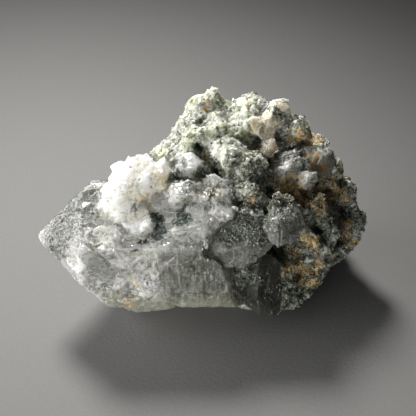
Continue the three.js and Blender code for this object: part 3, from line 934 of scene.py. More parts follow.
def quartz_material(
    name, colour, *, transmission, gloss, cloud, depth, density=0.0, facet=0.35, stain=0.8, ridge_highlight=0.9
):
    """Quartz: see-through by plain transmission, refraction and absorption, with cloudy and stained places.

    `gloss` is its least roughness, `cloud` how strongly its splinters show, `depth` how far light spreads
    in it, in mm, and `density` its absorption per metre. `facet`, `stain` and `ridge_highlight` say how
    strong its small facets, its rust and the painted highlight on its ridges are.
    """
    s = Shader(name)
    # The frost number carries the frost and also the painted highlights on the edges and lips
    frost = s.times(s.attribute("frost"), s.span(s.noise(0.9, 4, 0.75), 0.38, 0.58, 0.35, 1.0))
    plain = s.maths("SUBTRACT", 1.0, s.times(frost, 0.8), True)
    large, border = s.shards(5.0)
    small, line = s.shards(1.7, (0.9, 0.2, 0.7))
    tone = s.plus(s.times(large, 0.6), s.times(small, 0.4))
    body = quartz_body(s, colour, cloud, frost, plain, tone)
    body = quartz_inside(s, body, colour, cloud, plain, border, line, ridge_highlight)
    body = quartz_marks(s, body, colour, line, stain)
    s.link(body, s.surface.inputs["Base Color"])
    rubbed = s.span(s.noise(2.6, 3, 0.6, 0.4), 0.4, 0.7, gloss, min(1.0, gloss + 0.4))
    s.link(rubbed, s.surface.inputs["Roughness"])
    s.surface.inputs["IOR"].default_value = QUARTZ_IOR
    s.surface.inputs["Transmission Weight"].default_value = transmission
    s.surface.inputs["Subsurface Weight"].default_value = 1.0
    s.surface.inputs["Subsurface Radius"].default_value = (1.0, 0.98, 0.92)
    s.surface.inputs["Subsurface Scale"].default_value = depth * MM
    relief = s.plus(s.times(s.facets(0.7), facet), s.times(s.noise(0.5, 4, 0.65), 0.06))
    s.bump(s.plus(relief, s.times(small, 0.12 * cloud)))
    if density:
        s.absorb(colour, density)
    return s.material


def rock_material():
    """Chlorite rock: grey, pale, mossy and dark grains, painted shade in the pits, and flaky rust."""
    s = Shader("Chlorite rock")
    speck = s.plus(s.times(s.attribute("grain"), 0.5), s.times(s.noise(0.5, 3, 0.75), 0.5))
    wide = s.span(speck, 0.25, 0.7)
    mossy = s.span(s.noise(3.2, 3, 0.65), 0.47, 0.62)
    light = s.mix(mossy, s.ramp(wide, PALE_TONES), s.ramp(wide, MOSS_TONES))
    colour = s.mix(s.attribute("pale"), s.ramp(wide, GREY_TONES), light)
    colour = s.mix(s.attribute("dark"), colour, s.ramp(wide, DARK_TONES))
    # Painted shade in the pits and grooves of the rock
    pit_shade = s.span(s.attribute("ridge"), -0.1, -0.8, 0.0, 0.75)
    colour = s.mix(pit_shade, colour, (0.025, 0.03, 0.022))
    flaky = s.plus(s.times(s.noise(1.7, 3, 0.7), 0.5), s.times(s.noise(0.6, 3, 0.8), 0.5))
    rusty = s.times(s.span(s.attribute("stain"), 0.3, 0.6), s.span(flaky, 0.47, 0.51), True)
    s.link(s.mix(rusty, colour, s.ramp(wide, RUST_TONES)), s.surface.inputs["Base Color"])
    s.link(s.span(s.noise(0.6, 2, 0.6), 0.35, 0.65, 0.25, 0.8), s.surface.inputs["Roughness"])
    s.surface.inputs["Subsurface Weight"].default_value = 0.85
    s.surface.inputs["Subsurface Radius"].default_value = (1.0, 1.0, 0.9)
    s.surface.inputs["Subsurface Scale"].default_value = 3.5 * MM
    s.bump(s.plus(s.times(s.facets(0.6), 0.6), s.times(s.noise(0.35, 3, 0.7), 0.1)))
    return s.material


def crumb_material(name, dark, light, gloss, transmission=0.0):
    """Small grains, each of its own tone."""
    s = Shader(name)
    tone = s.attribute("tone")
    mottle = s.span(s.noise(0.35, 2, 0.6), 0.3, 0.7, 0.75, 1.0)
    s.link(s.mix(s.times(tone, mottle), dark, light), s.surface.inputs["Base Color"])
    s.link(s.span(tone, 0, 1, gloss, gloss + 0.25), s.surface.inputs["Roughness"])
    s.surface.inputs["Transmission Weight"].default_value = transmission
    s.surface.inputs["IOR"].default_value = 1.54
    return s.material


# Scattered grains


def low_form(name, points):
    """A closed hull of a few corners."""
    mesh = bpy.data.meshes.new(name)
    shape = bmesh.new()
    for p in points:
        shape.verts.new(p)
    bmesh.ops.convex_hull(shape, input=shape.verts)
    bmesh.ops.recalc_face_normals(shape, faces=shape.faces)
    shape.to_mesh(mesh)
    shape.free()
    return object_of(mesh, name)


def flake_form(name):
    """A thin, slightly uneven six-sided flake."""
    ring = [(math.cos(a), math.sin(a)) for a in (math.radians(60 * k + 8 * (k % 2)) for k in range(6))]
    return low_form(name, [(x, y, z) for z in (-0.3, 0.3) for x, y in ring])


def scattered_directions(random, count):
    """Random points on a ball of radius 1."""
    points = random.normal(size=(count, 3))
    return points / np.linalg.norm(points, axis=1)[:, None]


def chip_form(name, seed):
    """A small splinter with many faces."""
    points = scattered_directions(np.random.default_rng(seed), 9)
    return low_form(name, [tuple(p * (1, 0.8, 0.65)) for p in points])


def block_form(name, seed):
    """A block of broken quartz with a few large faces."""
    random = np.random.default_rng(seed)
    points = scattered_directions(random, 11)
    return low_form(name, [tuple(p * (1.0, 0.8, 0.55) * random.uniform(0.85, 1.15)) for p in points])


def slab_form(name, seed):
    """A thin broken slab with sharp edges."""
    random = np.random.default_rng(seed)
    points = []
    for z, count, reach in ((-0.2, 5, 1.0), (0.2, 4, 0.8)):
        for k in range(count):
            turn = 2 * math.pi * (k + random.uniform(-0.3, 0.3)) / count
            far = reach * random.uniform(0.75, 1.1)
            points.append((far * math.cos(turn), 0.7 * far * math.sin(turn), z * random.uniform(0.6, 1.2)))
    return low_form(name, points)


def point_form(name):
    """A small quartz crystal, standing on the origin."""
    ring = [(math.cos(a), math.sin(a)) for a in (math.radians(60 * k) for k in range(6))]
    sides = [(0.5 * x, 0.5 * y, z) for z in (-0.5, 0.9) for x, y in ring]
    return low_form(name, sides + [(0.06, 0.02, 1.6)])


def grain_forms():
    """One of each form that is scattered, by name."""
    forms = {"flake": flake_form("flake"), "chip": chip_form("chip", 4), "point": point_form("point")}
    for i, name in enumerate(("block_a", "block_b", "block_c")):
        forms[name] = block_form(name, 30 + i)
    for i, name in enumerate(("slab_a", "slab_b")):
        forms[name] = slab_form(name, 50 + i)
    return forms


def scatter_tree(name, tilt):
    """Sets instances of a form over the skin where an attribute allows it."""
    tree = bpy.data.node_groups.new(name, "GeometryNodeTree")
    face = tree.interface
    inputs = {
        "Geometry": "Geometry",
        "Form": "Object",
        "Density": "Float",
        "Least size": "Float",
        "Most size": "Float",
        "Sunk": "Float",
        "Where": "String",
        "Seed": "Int",
        "Material": "Material",
    }
    for label, kind in inputs.items():
        face.new_socket(label, in_out="INPUT", socket_type="NodeSocket" + kind)
    face.new_socket("Geometry", in_out="OUTPUT", socket_type="NodeSocketGeometry")

    def add(kind, **traits):
        node = tree.nodes.new(kind)
        for key, value in traits.items():
            setattr(node, key, value)
        return node

    link = tree.links.new
    given = add("NodeGroupInput").outputs
    result = add("NodeGroupOutput").inputs
    where = add("GeometryNodeInputNamedAttribute", data_type="FLOAT")
    link(given["Where"], where.inputs["Name"])
    thick = add("ShaderNodeMath", operation="MULTIPLY")
    link(where.outputs["Attribute"], thick.inputs[0])
    link(given["Density"], thick.inputs[1])
    points = add("GeometryNodeDistributePointsOnFaces", distribute_method="RANDOM")
    link(given["Geometry"], points.inputs["Mesh"])
    link(thick.outputs[0], points.inputs["Density"])
    link(given["Seed"], points.inputs["Seed"])
    form = add("GeometryNodeObjectInfo", transform_space="ORIGINAL")
    link(given["Form"], form.inputs["Object"])
    turn = add("FunctionNodeRandomValue", data_type="FLOAT_VECTOR")
    turn.inputs[0].default_value = (-tilt, -tilt, 0)
    turn.inputs[1].default_value = (tilt, tilt, 2 * math.pi)
    link(given["Seed"], turn.inputs["Seed"])
    turned = add("FunctionNodeRotateRotation", rotation_space="LOCAL")
    link(points.outputs["Rotation"], turned.inputs["Rotation"])
    link(turn.outputs[0], turned.inputs["Rotate By"])
    size = add("FunctionNodeRandomValue", data_type="FLOAT")
    link(given["Least size"], size.inputs[2])
    link(given["Most size"], size.inputs[3])
    link(given["Seed"], size.inputs["Seed"])
    down = add("ShaderNodeMath", operation="MULTIPLY")
    link(size.outputs[1], down.inputs[0])
    link(given["Sunk"], down.inputs[1])
    shift = add("ShaderNodeVectorMath", operation="SCALE")
    link(points.outputs["Normal"], shift.inputs[0])
    link(down.outputs[0], shift.inputs["Scale"])
    lowered = add("GeometryNodeSetPosition")
    link(points.outputs["Points"], lowered.inputs["Geometry"])
    link(shift.outputs[0], lowered.inputs["Offset"])
    set_on = add("GeometryNodeInstanceOnPoints")
    link(lowered.outputs["Geometry"], set_on.inputs["Points"])
    link(form.outputs["Geometry"], set_on.inputs["Instance"])
    link(turned.outputs["Rotation"], set_on.inputs["Rotation"])
    link(size.outputs[1], set_on.inputs["Scale"])
    tone = add("FunctionNodeRandomValue", data_type="FLOAT")
    tone.inputs["Seed"].default_value = 7
    keep = add("GeometryNodeStoreNamedAttribute", data_type="FLOAT", domain="INSTANCE")
    keep.inputs["Name"].default_value = "tone"
    link(set_on.outputs["Instances"], keep.inputs["Geometry"])
    link(tone.outputs[1], keep.inputs["Value"])
    real = add("GeometryNodeRealizeInstances")
    link(keep.outputs["Geometry"], real.inputs["Geometry"])
    coat = add("GeometryNodeSetMaterial")
    link(real.outputs["Geometry"], coat.inputs["Geometry"])
    link(given["Material"], coat.inputs["Material"])
    link(coat.outputs["Geometry"], result["Geometry"])
    return tree


def scatter(host, name, tree, form, material, **values):
    """Scatters a form over the host's skin and keeps the result as a plain mesh."""
    cover = object_of(host.data.copy(), name)
    modifier = cover.modifiers.new("Scatter", "NODES")
    modifier.node_group = tree
    named = {"Form": form, "Material": material, **values}
    for item in tree.interface.items_tree:
        if item.in_out == "INPUT" and item.name in named:
            modifier[item.identifier] = named[item.name]
    return finished(cover)


def scatter_kinds(host, kinds, seed):
    """Scatters several kinds of grain over one host.

    A row holds the name, the form, the material, how many grow on a square mm, the least and the most size
    in mm, how far they are raised as a share of that, with a minus where they are sunk in, and the painted
    number that says where they grow.
    """
    tree = scatter_tree("Scattered grains", math.pi)
    forms = grain_forms()
    for k, (name, form, material, density, least, most, sunk, where) in enumerate(kinds):
        values = {
            "Density": density / MM**2,
            "Least size": least * MM,
            "Most size": most * MM,
            "Sunk": sunk,
            "Where": where,
            "Seed": seed + k,
        }
        yield scatter(host, name, tree, forms[form], material, **values)
    for form in forms.values():
        bpy.data.objects.remove(form)


# Settings

# What every colour that a user may change has in common
COLOUR = {"subtype": "COLOR", "min": 0, "max": 1}


class QuartzSettings(bpy.types.PropertyGroup):
    """Skin, colours and clearness of the quartz"""

    skin: FloatProperty(
        name="Skin", description="Width of a face of the big crystal's mesh, in mm", default=0.33, min=0.2
    )
    clear: FloatVectorProperty(
        name="Clear", description="Colour of the clear quartz", default=(0.93, 0.94, 0.885), **COLOUR
    )
    milky: FloatVectorProperty(
        name="Milky", description="Colour of the milky quartz", default=(0.93, 0.92, 0.855), **COLOUR
    )
    smoky: FloatVectorProperty(
        name="Smoky", description="Colour of the grey quartz", default=(0.46, 0.47, 0.39), **COLOUR
    )
    stained: FloatVectorProperty(
        name="Stained", description="Colour of the peach quartz", default=(0.95, 0.82, 0.58), **COLOUR
    )
    density: FloatProperty(
        name="Density", description="Absorption of the clear quartz, per metre", default=20, min=0
    )


class RockSettings(bpy.types.PropertyGroup):
    """Skin of the rock and the grains on it"""

    skin: FloatProperty(
        name="Skin", description="Width of a face of the rock's mesh, in mm", default=0.38, min=0.2
    )
    relief: FloatProperty(
        name="Relief", description="Height of the rock's roughness, in mm", default=1.0, min=0
    )
    flakes: FloatProperty(
        name="Flakes", description="Chlorite flakes on a square millimetre", default=1.6, min=0
    )
    chips: FloatProperty(
        name="Chips", description="Quartz chips on a square millimetre", default=0.8, min=0
    )
    crumbs: FloatProperty(
        name="Crumbs", description="Rusty crumbs on a square millimetre", default=1.2, min=0
    )
    seed: IntProperty(name="Seed", description="Changes how the grains fall", default=3)


class StageSettings(bpy.types.PropertyGroup):
    """Floor and lights"""

    floor: FloatVectorProperty(
        name="Floor", description="Colour of the floor", default=(0.17, 0.167, 0.163), **COLOUR
    )
    key: FloatProperty(
        name="Key light", description="Power of the light behind", unit="POWER", default=25.5, min=0
    )
    window: FloatProperty(
        name="Window light", description="Power of the light at the left", unit="POWER", default=0.42, min=0
    )
    front: FloatProperty(
        name="Front light", description="Power of the soft light in front", unit="POWER", default=1.85, min=0
    )
    sky: FloatProperty(
        name="Room light", description="Strength of the light all round", default=0.035, min=0
    )


def settings(kind):
    """The scene's settings for the quartz, the rock or the stage."""
    return getattr(bpy.context.scene, "specimen_" + kind)


# The rock

# Rows for scatter_kinds
ROCK_BLOCKS = (
    ("blocks_a", "block_a", None, 0.05, 1.6, 3.2, -0.55, "blocks"),
    ("blocks_b", "block_b", None, 0.09, 1.0, 2.1, -0.4, "blocks"),
    ("blocks_c", "block_c", None, 0.12, 0.6, 1.3, -0.3, "blocks"),
)
ROCK_NEIGHBOURS = ("quartz_crystal", *SMALL_NODES)


def blocky_rock(choice):
    """The rock evened out where it is pale, with broken blocks standing there, as one skin."""
    rock = even_skin(merged_copy("chlorite_rock", "rock"), FIRST_SKIN)
    p = corners_of(rock.data)
    gap = apart_from(ROCK_NEIGHBOURS, p)
    calm = np.clip(spotted(p, PALE_SPOTS) + 0.6 * spotted(p, CALM_SPOTS), 0, 1)
    calm *= np.clip(p[:, 2] - 2, 0, 1)
    p += (calm * (gap > 0.7))[:, None] * (neighbours_mean(rock.data, p, 30) - p)
    move_corners(rock.data, p)
    paint(rock.data, "blocks", calm * (gap > 0.8))
    blocks = list(scatter_kinds(rock, ROCK_BLOCKS, choice.seed))
    blocks += [placed(block_form("filler", 70 + i), *row) for i, row in enumerate(FILLERS)]
    return built_up(rock, blocks, choice.skin)


def rock_heights(p, n, bent, calm, gap, relief):
    """How far each corner of the rock is pushed out, which is nearly even beside the crystals."""
    height = (0.5 - 0.35 * calm) * rough(p, 6.5, 21) + 0.25 * facets(bent, 3.1, 22)
    height += (0.28 - 0.08 * calm) * facets(bent, 1.5, 23) + (0.2 - 0.14 * calm) * facets(bent, 0.85, 24)
    height = relief * np.clip(height, -1.6, 1.1) - 0.1
    height -= 1.3 * carved(p, n, HOLLOWS, 0.6)
    height = np.where(gap < 0.7, 0.45 + 0.2 * np.clip(height, -1, 1), height)
    return height * np.clip(p[:, 2] / 0.8, 0, 1)


class SPECIMEN_OT_rock(bpy.types.Operator):
    """The chlorite rock with its granular skin"""

    bl_idname = "specimen.rock"
    bl_label = "Chlorite rock"

    def execute(self, context):
        choice = settings("rock")
        rock = blocky_rock(choice)
        mesh = rock.data
        p = corners_of(mesh)
        n = neighbours_mean(mesh, normals_of(mesh), 3)
        n /= np.linalg.norm(n, axis=1)[:, None] + 1e-9
        gap = apart_from(ROCK_NEIGHBOURS, p)
        pale = spotted(p, PALE_SPOTS)
        dark = spotted(p, DARK_SPOTS, seed=6)
        stain = spotted(p, STAIN_SPOTS, 2.0, seed=7)
        calm = np.clip(pale + 0.6 * spotted(p, CALM_SPOTS), 0, 1)
        bent = bent_by(p, 0.5, 1.7, 31)
        height = rock_heights(p, n, bent, calm, gap, choice.relief)

        _, cell = grains(bent, 0.95, 27)
        paint(mesh, "grain", lattice(*cell.T, 3) * 0.5 + 0.5)
        paint(mesh, "pale", pale * (1 - 0.8 * dark))
        paint(mesh, "dark", dark)
        paint(mesh, "smoke", spotted(p, OLIVE_SPOTS, 0.8))
        paint(mesh, "stain", stain)
        off_floor = p[:, 2] > 0.6
        open_skin = off_floor * (gap > 0.3)
        paint(mesh, "crumbs", np.clip(0.3 + dark - pale, 0.04, 1) * open_skin)
        paint(mesh, "chips", np.clip(0.5 + 0.1 * pale - 0.5 * dark, 0, 1) * open_skin)
        paint(mesh, "points", np.clip(0.15 + calm - dark, 0, 1) * open_skin)
        patches = 0.75 * np.clip(2.5 * rough(p, 4.5, 35) - 1.1, 0, 1)
        glassy = np.maximum(spotted(p, GLASSY_SPOTS, 1.2, 8), patches)
        glassy *= off_floor * (1 - 0.9 * stain)

        p += n * height[:, None]
        move_corners(mesh, p)
        # The ridge number sets the painted shade in the pits and the painted highlight on the ridges, less on
        # pale rock
        paint(mesh, "ridge", ridges(mesh, p, n, 0.1) * (0.75 - 0.5 * pale))
        mesh.materials.clear()
        mesh.materials.append(rock_material())
        mesh.materials.append(quartz_material("Quartz in the rock", ROCK_QUARTZ, **ROCK_LOOK))
        mesh.polygons.foreach_set("material_index", (face_means(mesh, glassy) > 0.5).astype(np.int32))
        ride(rock, "chlorite_rock", "chlorite_rock")
        return {"FINISHED"}


# The big crystal

# Rows for scatter_kinds
HEAP_BLOCKS = (
    ("blocks_a", "block_a", None, 0.09, 2.0, 3.8, -0.6, "heap"),
    ("blocks_b", "block_b", None, 0.12, 1.2, 2.4, -0.45, "heap"),
    ("blocks_c", "block_c", None, 0.15, 0.7, 1.4, -0.3, "heap"),
)
HEAP_SEED = 5


def heaped_crystal(cell):
    """The big crystal with broken blocks in its milky heap and its plates, as one skin."""
    crystal = even_skin(merged_copy("quartz_crystal", "big_crystal"), FIRST_SKIN)
    p = corners_of(crystal.data)
    gap = apart_from(("chlorite_rock", *SMALL_NODES), p)
    pile = np.maximum(cliff(spotted(p, MILKY_SPOTS, 1.0)), spotted(p, PILE_SPOTS))
    paint(crystal.data, "heap", pile * (gap > 0.5))
    return built_up(crystal, list(scatter_kinds(crystal, HEAP_BLOCKS, HEAP_SEED)), cell)


def crystal_heights(p, milky, layer, crackle, lobe):
    """How far each corner of the big crystal is pushed out, its scars left aside."""
    bent = bent_by(p, 0.5, 1.9, 41)
    sheared = bent * (0.75, 1.3, 0.8)
    height = 0.07 * rough(p, 5.5, 42) + 0.12 * (1 - milky) * terraces(p, 7.0, 48, 3)
    height += (1 - milky) * (0.3 * facets(sheared, 5.2, 43) + 0.16 * facets(sheared, 2.1, 44))
    height += milky * 0.1 * facets(bent, 1.3, 46)
    height += 0.45 * cliff(layer) * (1 - milky)
    height += 0.3 * crackle * facets(sheared, 1.3, 45) + 1.9 * np.sqrt(lobe) * (1 - milky)
    return height


class SPECIMEN_OT_big_crystal(bpy.types.Operator):
    """The big clear crystal with its milky heap"""

    bl_idname = "specimen.big_crystal"
    bl_label = "Big crystal"

    def execute(self, context):
        choice = settings("quartz")
        crystal = heaped_crystal(choice.skin)
        mesh = crystal.data
        p = corners_of(mesh)
        n = normals_of(mesh)
        edge = edge_share(mesh, n)
        gap = apart_from(SMALL_NODES, p)
        milky = spotted(p, MILKY_SPOTS, 1.2)
        layer = spotted(p, LAYERS, 0.9, 9)
        crackle = spotted(p, CRACKLE_SPOTS, 0.9, 9) * (1 - milky)
        lobe = spotted(p, LOBE_SPOTS, 0.4)
        height = crystal_heights(p, milky, layer, crackle, lobe)
        scars = list(SCARS) + chipped(p, edge * (1 - milky) * (p[:, 2] > 1), 60, (0.8, 2.2), 12)
        scar = carved(p, n, scars, 0.15) * (1 - milky)
        height -= scar
        height = np.where(gap < 0.6, 0.3, height)

        frosted = spotted(p, FROST_SPOTS, 1.6)
        # Painted highlights along the sharp edges and on the lips of the scars and growth layers, laid with
        # the frost
        edge_highlight = 0.8 * edge * np.clip(0.5 + rough(p, 2.0, 50), 0, 1)
        lip_highlight = np.maximum(1 - np.abs(scar - 0.07) / 0.07, 1.0 - np.abs(layer - 0.42) / 0.25)
        frost = np.maximum.reduce([cliff(frosted) * frosted, edge_highlight, lip_highlight])
        paint(mesh, "frost", np.clip(frost + milky, 0, 1))
        paint(mesh, "smoke", spotted(p, SMOKE_SPOTS, 1.5) * (1 - milky))
        paint(mesh, "crackle", crackle)
        paint(mesh, "rim", spotted(p, RIM_SPOTS, 0.7))
        veil = spotted(p, VEIL_SPOTS, 1.5)
        paint(mesh, "veil", 0.9 * veil)
        paint(mesh, "stain", spotted(p, CRYSTAL_STAINS, 0.6))
        paint(mesh, "coat", 0.9 * spotted(p, COAT_SPOTS, 1.4))
        paint(mesh, "cluster", cliff(spotted(p, CLUSTER_SPOTS, 0.5)))
        paint(mesh, "heap", np.clip(2 * milky - 1, 0, 1))
        facing = np.clip(n[:, 2] + 0.35, 0, 1) * (1 - milky)
        paint(mesh, "flecks", np.maximum(veil, 0.3 * facing * (rough(p, 3.5, 49) > 0.1)))
        paint(mesh, "slabs", facing * (p[:, 0] > -26) * (rough(p, 4.5, 59) > 0.0))
        cloud = np.maximum.reduce([milky, lobe, 0.6 * spotted(p, FROST_SPOTS, 0.8)])

        p += n * height[:, None]
        move_corners(mesh, p)
        # The ridge number sets the painted shade in the grooves and the painted highlight on the ridges
        paint(mesh, "ridge", ridges(mesh, p, n))
        creased(mesh)
        mesh.materials.clear()
        for name, colour, look in (
            ("Clear quartz", choice.clear, {**CLEAR_LOOK, "density": choice.density}),
            ("Cloudy quartz", choice.milky, {**CLOUDY_LOOK, "density": choice.density}),
            ("Milky quartz", choice.milky, MILKY_LOOK),
        ):
            mesh.materials.append(quartz_material(name, colour, **look))
        kind = np.digitize(face_means(mesh, cloud + 0.1 * rough(p, 1.2, 47)), (0.35, 0.72))
        mesh.polygons.foreach_set("material_index", kind.astype(np.int32))
        mesh.update()
        ride(crystal, "clear_quartz", "quartz_crystal")
        return {"FINISHED"}


# The small crystals


def small_heights(p, n, edge, k):
    """How far each corner of the small crystal number k is pushed out, with its scars."""
    bent = bent_by(p, 0.4, 1.9, 51 + k)
    height = 0.14 * rough(p, 4.0, 52 + k) + 0.16 * facets(bent, 2.6, 53 + k)
    height += 0.08 * facets(bent, 1.2, 55 + k)
    height += 0.15 * terraces(p, 4.0, 56 + k, 3) + 0.5 * np.minimum(facets(p, 5.0, 58 + k), 0.2)
    return height - carved(p, n, chipped(p, edge, 26, (0.6, 1.8), 57 + k), 0.15)


class SPECIMEN_OT_small_crystals(bpy.types.Operator):
    """The smaller quartz crystals in the rock"""

    bl_idname = "specimen.small_crystals"
    bl_label = "Small crystals"

    def execute(self, context):
        choice = settings("quartz")
        for k, (node, slot, colour, transmission) in enumerate(SMALL_CRYSTALS):
            crystal = even_skin(merged_copy(node, piece_name(node)), SMALL_SKIN)
            mesh = crystal.data
            p = corners_of(mesh)
            n = normals_of(mesh)
            edge = edge_share(mesh, n)
            height = small_heights(p, n, edge, k)
            coat = spotted(p, COAT_SPOTS, 1.4)
            paint(mesh, "stain", spotted(p, STAIN_SPOTS + SMALL_STAINS, 1.2))
            paint(mesh, "coat", coat * np.clip(n[:, 2] + 0.7, 0, 1))
            paint(mesh, "chips", coat)
            paint(mesh, "veil", 0.5 * coat)
            # Painted highlight along the sharp edges, carried by the frost number
            paint(mesh, "frost", 0.7 * edge * np.clip(0.5 + rough(p, 2.0, 50 + k), 0, 1))
            p += n * height[:, None]
            move_corners(mesh, p)
            # The ridge number sets the painted shade in the grooves and the painted highlight on the ridges
            paint(mesh, "ridge", ridges(mesh, p, n))
            creased(mesh)
            look = {**SMALL_LOOK, "transmission": transmission}
            mesh.materials.clear()
            mesh.materials.append(quartz_material(node, getattr(choice, colour), **look))
            ride(crystal, slot, node)
        return {"FINISHED"}


# The grains


def rock_grains(choice, flakes, chips, rusty, cloudy):
    """What grows on the rock."""
    return (
        ("chlorite_flakes", "flake", flakes, choice.flakes, 0.2, 0.46, -0.2, "crumbs"),
        ("quartz_chips", "chip", chips, choice.chips, 0.22, 0.75, -0.2, "chips"),
        ("quartz_points", "point", chips, 0.015, 0.5, 0.9, -0.2, "points"),
        ("rusty_crumbs", "chip", rusty, choice.crumbs, 0.18, 0.42, -0.2, "stain"),
        ("rock_slabs", "slab_a", cloudy, 0.035, 0.8, 1.7, -0.4, "points"),
    )


def crystal_grains(dark, chips, milky, cloudy):
    """What grows on the big crystal."""
    return (
        ("chlorite_on_crystal", "flake", dark, 6.0, 0.22, 0.45, 0.1, "cluster"),
        ("chlorite_in_plates", "flake", dark, 1.6, 0.18, 0.36, 0.0, "coat"),
        ("chlorite_specks", "flake", dark, 4.0, 0.08, 0.2, 0.0, "flecks"),
        ("tip_flecks", "chip", chips, 0.6, 0.12, 0.26, -0.3, "flecks"),
        ("heap_slabs_a", "slab_a", milky, 0.06, 0.9, 1.8, -0.45, "heap"),
        ("heap_slabs_b", "slab_b", milky, 0.06, 0.6, 1.2, -0.4, "heap"),
        ("face_slabs", "slab_b", cloudy, 0.12, 0.5, 1.4, -0.35, "slabs"),
    )


class SPECIMEN_OT_grains(bpy.types.Operator):
    """Chlorite flakes, quartz chips and rusty crumbs grown on the rock and the crystals"""

    bl_idname = "specimen.grains"
    bl_label = "Grains"

    def execute(self, context):
        choice = settings("rock")
        pieces = bpy.data.objects
        flakes = crumb_material("Chlorite flakes", (0.042, 0.05, 0.036), (0.38, 0.4, 0.31), 0.32)
        chips = crumb_material("Quartz chips", (0.4, 0.41, 0.34), (0.78, 0.78, 0.73), 0.2, 0.25)
        rusty = crumb_material("Rusty crumbs", (0.2, 0.085, 0.022), (0.85, 0.56, 0.2), 0.6)
        dark = crumb_material("Dark chlorite", (0.012, 0.022, 0.02), (0.1, 0.14, 0.125), 0.3)
        milky = bpy.data.materials["Milky quartz"]
        cloudy = bpy.data.materials["Cloudy quartz"]
        kinds = rock_grains(choice, flakes, chips, rusty, cloudy)
        for cover in scatter_kinds(pieces["rock"], kinds, choice.seed):
            ride(cover, "clear_quartz" if cover.name == "rock_slabs" else "chlorite_rock")
        kinds = crystal_grains(dark, chips, milky, cloudy)
        for cover in scatter_kinds(pieces["big_crystal"], kinds, choice.seed + 10):
            ride(cover, "chlorite_rock" if cover.name.startswith("chlorite") else "clear_quartz")
        for k, (node, slot, _, _) in enumerate(SMALL_CRYSTALS):
            piece = piece_name(node)
            kinds = (
                (piece + "_flakes", "flake", flakes, 5.0, 0.18, 0.4, -0.1, "coat"),
                (piece + "_chips", "chip", chips, 1.8, 0.18, 0.45, -0.2, "chips"),
            )
            for cover in scatter_kinds(pieces[piece], kinds, choice.seed + 20 + 5 * k):
                ride(cover, "chlorite_rock" if cover.name.endswith("flakes") else slot)
        return {"FINISHED"}


# The stage

# Sizes and places on the stage are in metres and angles in degrees, but the point looked at is in mm
FLOOR_REACH = 1.5
LOOKED_AT = (0.634, 3.12, 20)
CAMERA_TILT = 38
CAMERA_DISTANCE = 0.276
KEY_CONE = 34


def make_floor(choice):
    """A plain floor with a very fine grain."""
    r = FLOOR_REACH
    mesh = bpy.data.meshes.new("floor")
    mesh.from_pydata([(-r, -r, 0), (r, -r, 0), (r, r, 0), (-r, r, 0)], [], [(0, 1, 2, 3)])
    floor = object_of(mesh, "floor")
    s = Shader("Floor")
    fine = s.noise(0.8, 3, 0.6)
    colour = s.mix(s.span(fine, 0.3, 0.7, 0.0, 0.25), choice.floor, toned(choice.floor, 0.7))
    s.link(colour, s.surface.inputs["Base Color"])
    s.surface.inputs["Roughness"].default_value = 0.9
    s.bump(s.times(fine, 0.08))
    mesh.materials.append(s.material)


def light_room(scene, strength):
    """Weak, even light from all round."""
    world = bpy.data.worlds.new("Studio")
    world.use_nodes = True
    background = world.node_tree.nodes["Background"]
    background.inputs["Color"].default_value = (0.95, 0.97, 1, 1)
    background.inputs["Strength"].default_value = strength
    scene.world = world


def aimed(light, place, target):
    """Sets a light in its place, turned to what it lights."""
    lamp = bpy.data.objects.new(light.name, light)
    bpy.context.scene.collection.objects.link(lamp)
    lamp.visible_camera = False
    lamp.location = place
    lamp.rotation_euler = (Vector(target) - lamp.location).to_track_quat("-Z", "Y").to_euler()


def soft_light(name, power, wide, high, place, target):
    """A rectangular lamp."""
    light = bpy.data.lights.new(name, "AREA")
    light.energy = power
    light.shape = "RECTANGLE"
    light.size = wide
    light.size_y = high
    aimed(light, place, target)
    return light


def set_camera(scene):
    """The camera at the photo's viewing angle."""
    camera = bpy.data.cameras.new("camera")
    camera.lens = 90
    camera.sensor_width = 36
    camera.clip_start = 0.01
    eye = bpy.data.objects.new("camera", camera)
    scene.collection.objects.link(eye)
    tilt = math.radians(CAMERA_TILT)
    away = Vector((0, -math.cos(tilt), math.sin(tilt)))
    eye.location = Vector(LOOKED_AT) * MM + away * CAMERA_DISTANCE
    eye.rotation_euler = (-away).to_track_quat("-Z", "Y").to_euler()
    scene.camera = eye
    scene.view_settings.view_transform = "Standard"


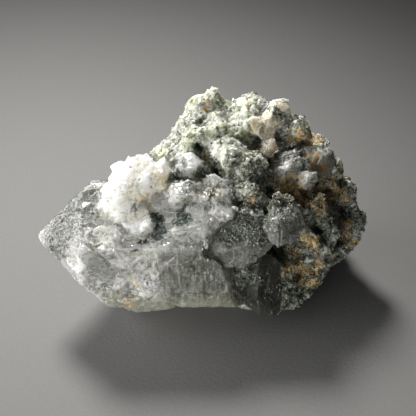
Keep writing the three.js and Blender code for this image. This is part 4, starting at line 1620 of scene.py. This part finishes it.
class SPECIMEN_OT_stage(bpy.types.Operator):
    """The floor, the lights and the camera"""

    bl_idname = "specimen.stage"
    bl_label = "Stage"

    def execute(self, context):
        choice = settings("stage")
        make_floor(choice)
        light_room(context.scene, choice.sky)
        key = bpy.data.lights.new("key", "SPOT")
        key.energy = choice.key
        key.spot_size = math.radians(KEY_CONE)
        key.spot_blend = 1.0
        key.shadow_soft_size = 0.085
        key.color = (1, 0.985, 0.96)
        aimed(key, (-0.155, 0.34, 0.42), (-0.025, 0.0, 0.0))
        window = soft_light("window", choice.window, 0.3, 0.24, (-0.3, 0.0, 0.14), (-0.02, 0, 0.02))
        window.spread = math.radians(100)
        soft_light("front", choice.front, 0.5, 0.1, (-0.28, -0.38, 0.075), (-0.01, 0, 0.02))
        set_camera(context.scene)
        return {"FINISHED"}


STEPS = (
    SPECIMEN_OT_stage,
    SPECIMEN_OT_rock,
    SPECIMEN_OT_big_crystal,
    SPECIMEN_OT_small_crystals,
    SPECIMEN_OT_grains,
)


class SPECIMEN_PT_panel(bpy.types.Panel):
    """The specimen's settings and pieces"""

    bl_label = "Quartz specimen"
    bl_idname = "SPECIMEN_PT_panel"
    bl_space_type = "VIEW_3D"
    bl_region_type = "UI"
    bl_category = "Specimen"

    def draw(self, context):
        for kind in ("quartz", "rock", "stage"):
            box = self.layout.box()
            box.label(text=kind.capitalize())
            group = settings(kind)
            for name in group.bl_rna.properties.keys():
                if name not in ("rna_type", "name"):
                    box.prop(group, name)
        for step in STEPS:
            self.layout.operator(step.bl_idname)


CLASSES = (QuartzSettings, RockSettings, StageSettings, *STEPS, SPECIMEN_PT_panel)


def register():
    for item in CLASSES:
        bpy.utils.register_class(item)
    bpy.types.Scene.specimen_quartz = PointerProperty(type=QuartzSettings)
    bpy.types.Scene.specimen_rock = PointerProperty(type=RockSettings)
    bpy.types.Scene.specimen_stage = PointerProperty(type=StageSettings)


def unregister():
    del bpy.types.Scene.specimen_stage
    del bpy.types.Scene.specimen_rock
    del bpy.types.Scene.specimen_quartz
    for item in reversed(CLASSES):
        bpy.utils.unregister_class(item)


def main():
    """Makes every piece in turn."""
    register()
    bpy.ops.specimen.stage()
    bpy.ops.specimen.rock()
    bpy.ops.specimen.big_crystal()
    bpy.ops.specimen.small_crystals()
    bpy.ops.specimen.grains()


if __name__ == "__main__":
    main()
